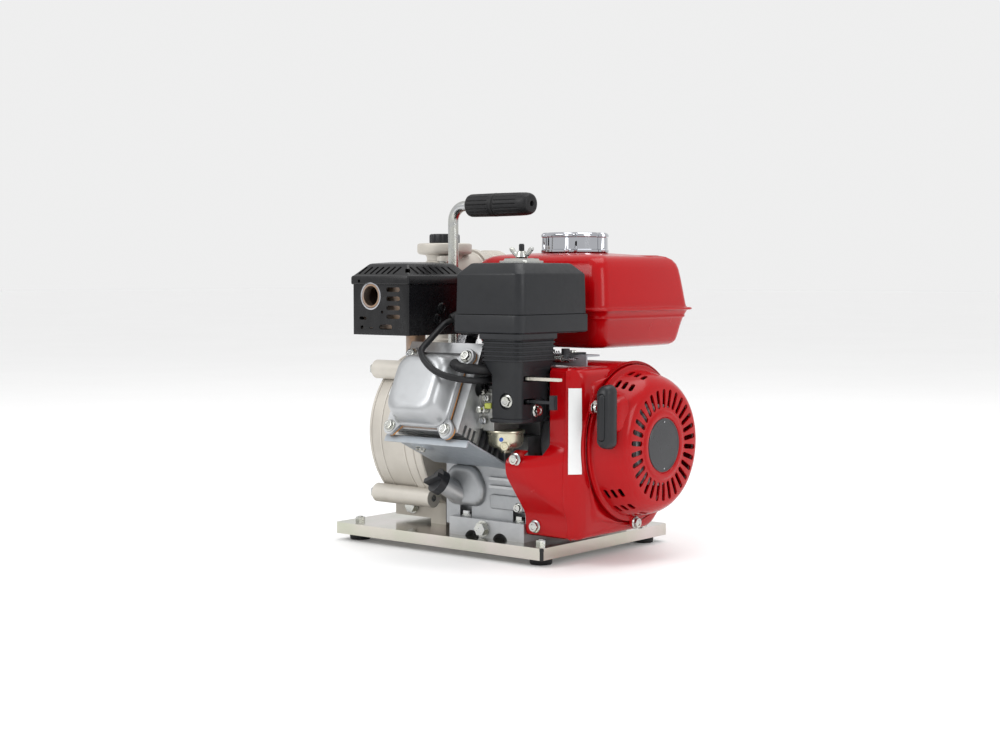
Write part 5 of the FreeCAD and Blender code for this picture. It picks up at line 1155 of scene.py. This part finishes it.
def carburettor_details():
    steel = Shape()
    for place, way in (((92, -134, 52), FRONT), ((86.5, -130, 57), (0, -0.3, 1)),
                       ((99, -120, 61), UP), ((88, -134, 28), FRONT)):
        steel.bolt(place, way, 6, 3.4, 4.4)
    steel.lathe([(4.6, 0), (4.6, 7), (3.6, 8), (3.6, 12), (2.6, 12.6)], 24,
                seat=aimed((90, -132, 40), FRONT))
    piece("carburettor_screws", steel, finish=ZINC)
    dark = Shape()
    arm = soft_outline([(-3, -3, 2.6), (3, -3, 2.6), (2.4, 17, 2.2), (-2.4, 17, 2.2)])
    dark.stack(bulged(arm, 0, 1.6, 0.4), seat=shift(84, -128, 63) @ turned(-62, "X"))
    dark.lathe([(6, 0), (6, 3.6), (5, 4.4)], 32, seat=aimed((90, -120, 61), UP))
    piece("carburettor_linkage", dark, finish=FINISHES["black_paint"])
    green = Shape().stack(
        bulged(rounded(-4, 4, -3, 3, 1.2), 0, 5, 1.0), seat=aimed((96, -132.4, 44), (0.3, -1, 0)))
    piece("idle_limiter", green, finish=finish("idle_plastic", (0.42, 0.46, 0.08), 0.5))


def coiled(name, start, end, radius, wire, turns):
    """A small tension spring with straight hooks at both ends."""
    start = Vector(start)
    end = Vector(end)
    seat = aimed(start, end - start)
    length = (end - start).length
    route = [seat @ Vector((0, 0, 0)), seat @ Vector((0, 0, length * 0.14))]
    for step in range(turns * 8 + 1):
        height = length * (0.16 + 0.68 * step / (turns * 8))
        route.append(seat @ Vector((*spoke(2 * pi * step / 8, radius), height)))
    route += [seat @ Vector((0, 0, length * 0.86)), seat @ Vector((0, 0, length))]
    tube(name, route, wire, FINISHES["steel_bright"])


def control_details():
    coiled("governor_spring", (102, -58, 96), (134, -50, 98.6), 2.6, 0.45, 9)
    coiled("throttle_spring", (126, -56, 92), (158, -57.5, 93), 1.9, 0.4, 11)
    bolt_heads(
        "bracket_screws", [((x, y, 97), UP, 8, 3.8, 5.4) for x, y in ((98, -42), (134, -36))])


def rubber_feet():
    feet = Shape()
    for x in (-135, 135):
        for y in (-93, 99):
            feet.lathe([(10.4, -127), (11.6, -126.8), (12.1, -126), (13.4, -110.2),
                        (13.4, -109.2), (12.6, -108.5)], 48, seat=shift(x, y, 0))
    piece("feet", feet, "rubber_feet")


def plate_corner():
    """A black plug that paints the shade in the open slit where two folded flanges meet at the plate's
    near corner.
    """
    slit = Shape()
    slit.lathe([(1.5, -119.6), (1.5, -110.4), (2.4, -109.4), (2.4, -106.4), (1.6, -105.9)], 24,
               seat=shift(152.6, -114.4, 0))
    piece("plate_corner_slit_shade", slit, finish=PAINTED_SHADE_BLACK)


def softened_cad():
    """Small rounded edges on the castings and sheets that are carried over as they are."""
    for name, width in (
            ("engine_block", 0.7), ("pump_casing", 0.7), ("pump_adapter", 0.7), ("base_plate", 0.5),
            ("cylinder_head", 0.5), ("control_bracket", 0.3), ("drain_plugs", 0.4),
            ("casing_bolts", 0.4), ("engine_bolts", 0.4), ("foot_fasteners", 0.3),
            ("crankcase_cover", 0.5), ("carburettor", 0.6), ("spark_plug_cap", 0.6),
            ("oil_filler_cap", 0.5), ("choke_lever", 0.4), ("fuel_valve_lever", 0.5),
            ("throttle_lever", 0.4)):
        softened(NODES[name], width, 40)


# ---- stage ---------------------------------------------------------------------------------

def make_stage():
    scene = bpy.context.scene
    scene.view_settings.view_transform = "Standard"
    floor_data = bpy.data.meshes.new("floor")
    reach = 30.0
    floor_data.from_pydata(
        [(-reach, -reach, 0), (reach, -reach, 0), (reach, reach, 0), (-reach, reach, 0)], [],
        [(0, 1, 2, 3)])
    floor_data.materials.append(
        finish("floor_pale", (0.9, 0.9, 0.9), 0.6, 0.0, 0.01, 400, 0.02, 2.0))
    pale = floor_data.materials[0].node_tree.nodes["Principled BSDF"]
    fill(pale, {"Emission Color": (1, 1, 1, 1), "Emission Strength": 0.07})
    placed("floor", floor_data)
    world = bpy.data.worlds.new("studio")
    scene.world = world
    world.use_nodes = True
    backing = world.node_tree.nodes["Background"]
    fill(backing, {"Color": (1, 1, 1, 1), "Strength": 0.86})

    def softbox(name, place, aim, size, power):
        data = bpy.data.lights.new(name, "AREA")
        data.shape = "RECTANGLE"
        data.size, data.size_y = size
        data.energy = power
        lamp = placed(name, data)
        lamp.location = place
        way = Vector(aim) - Vector(place)
        lamp.rotation_euler = way.to_track_quat("-Z", "Y").to_euler()

    softbox("key", (-0.9, -2.0, 1.7), (0, 0, 0.2), (1.2, 1.2), 24)
    softbox("side", (2.3, -0.3, 1.2), (0, 0, 0.2), (0.8, 1.4), 16)
    softbox("top", (0.2, 0.4, 2.4), (0, 0, 0.2), (1.6, 1.6), 22)


def make_camera():
    data = bpy.data.cameras.new("camera")
    data.lens = 59.57
    data.sensor_width = 36.0
    camera = placed("camera", data)
    camera.location = (1.1922, -1.47272, 0.3088)
    camera.rotation_euler = (radians(86.578), 0, radians(39.461))
    bpy.context.scene.camera = camera


# ---- close ---------------------------------------------------------------------------------


MAKERS = [
    fan_shroud, shroud_label, recoil_housing, recoil_badge, starter_grip, cover_bolts,
    fuel_tank, fuel_cap, air_cleaner_cover, air_cleaner_base, wing_nut, muffler_guard,
    valve_cover, cylinder_side_plate, handle_grip, discharge_manifold, priming_cap,
    pump_details, crankcase_details, float_bowl, carburettor_details, control_details,
    rubber_feet, plate_corner, softened_cad,
]

paint_frame()
for maker in MAKERS:
    maker()
make_stage()
make_camera()
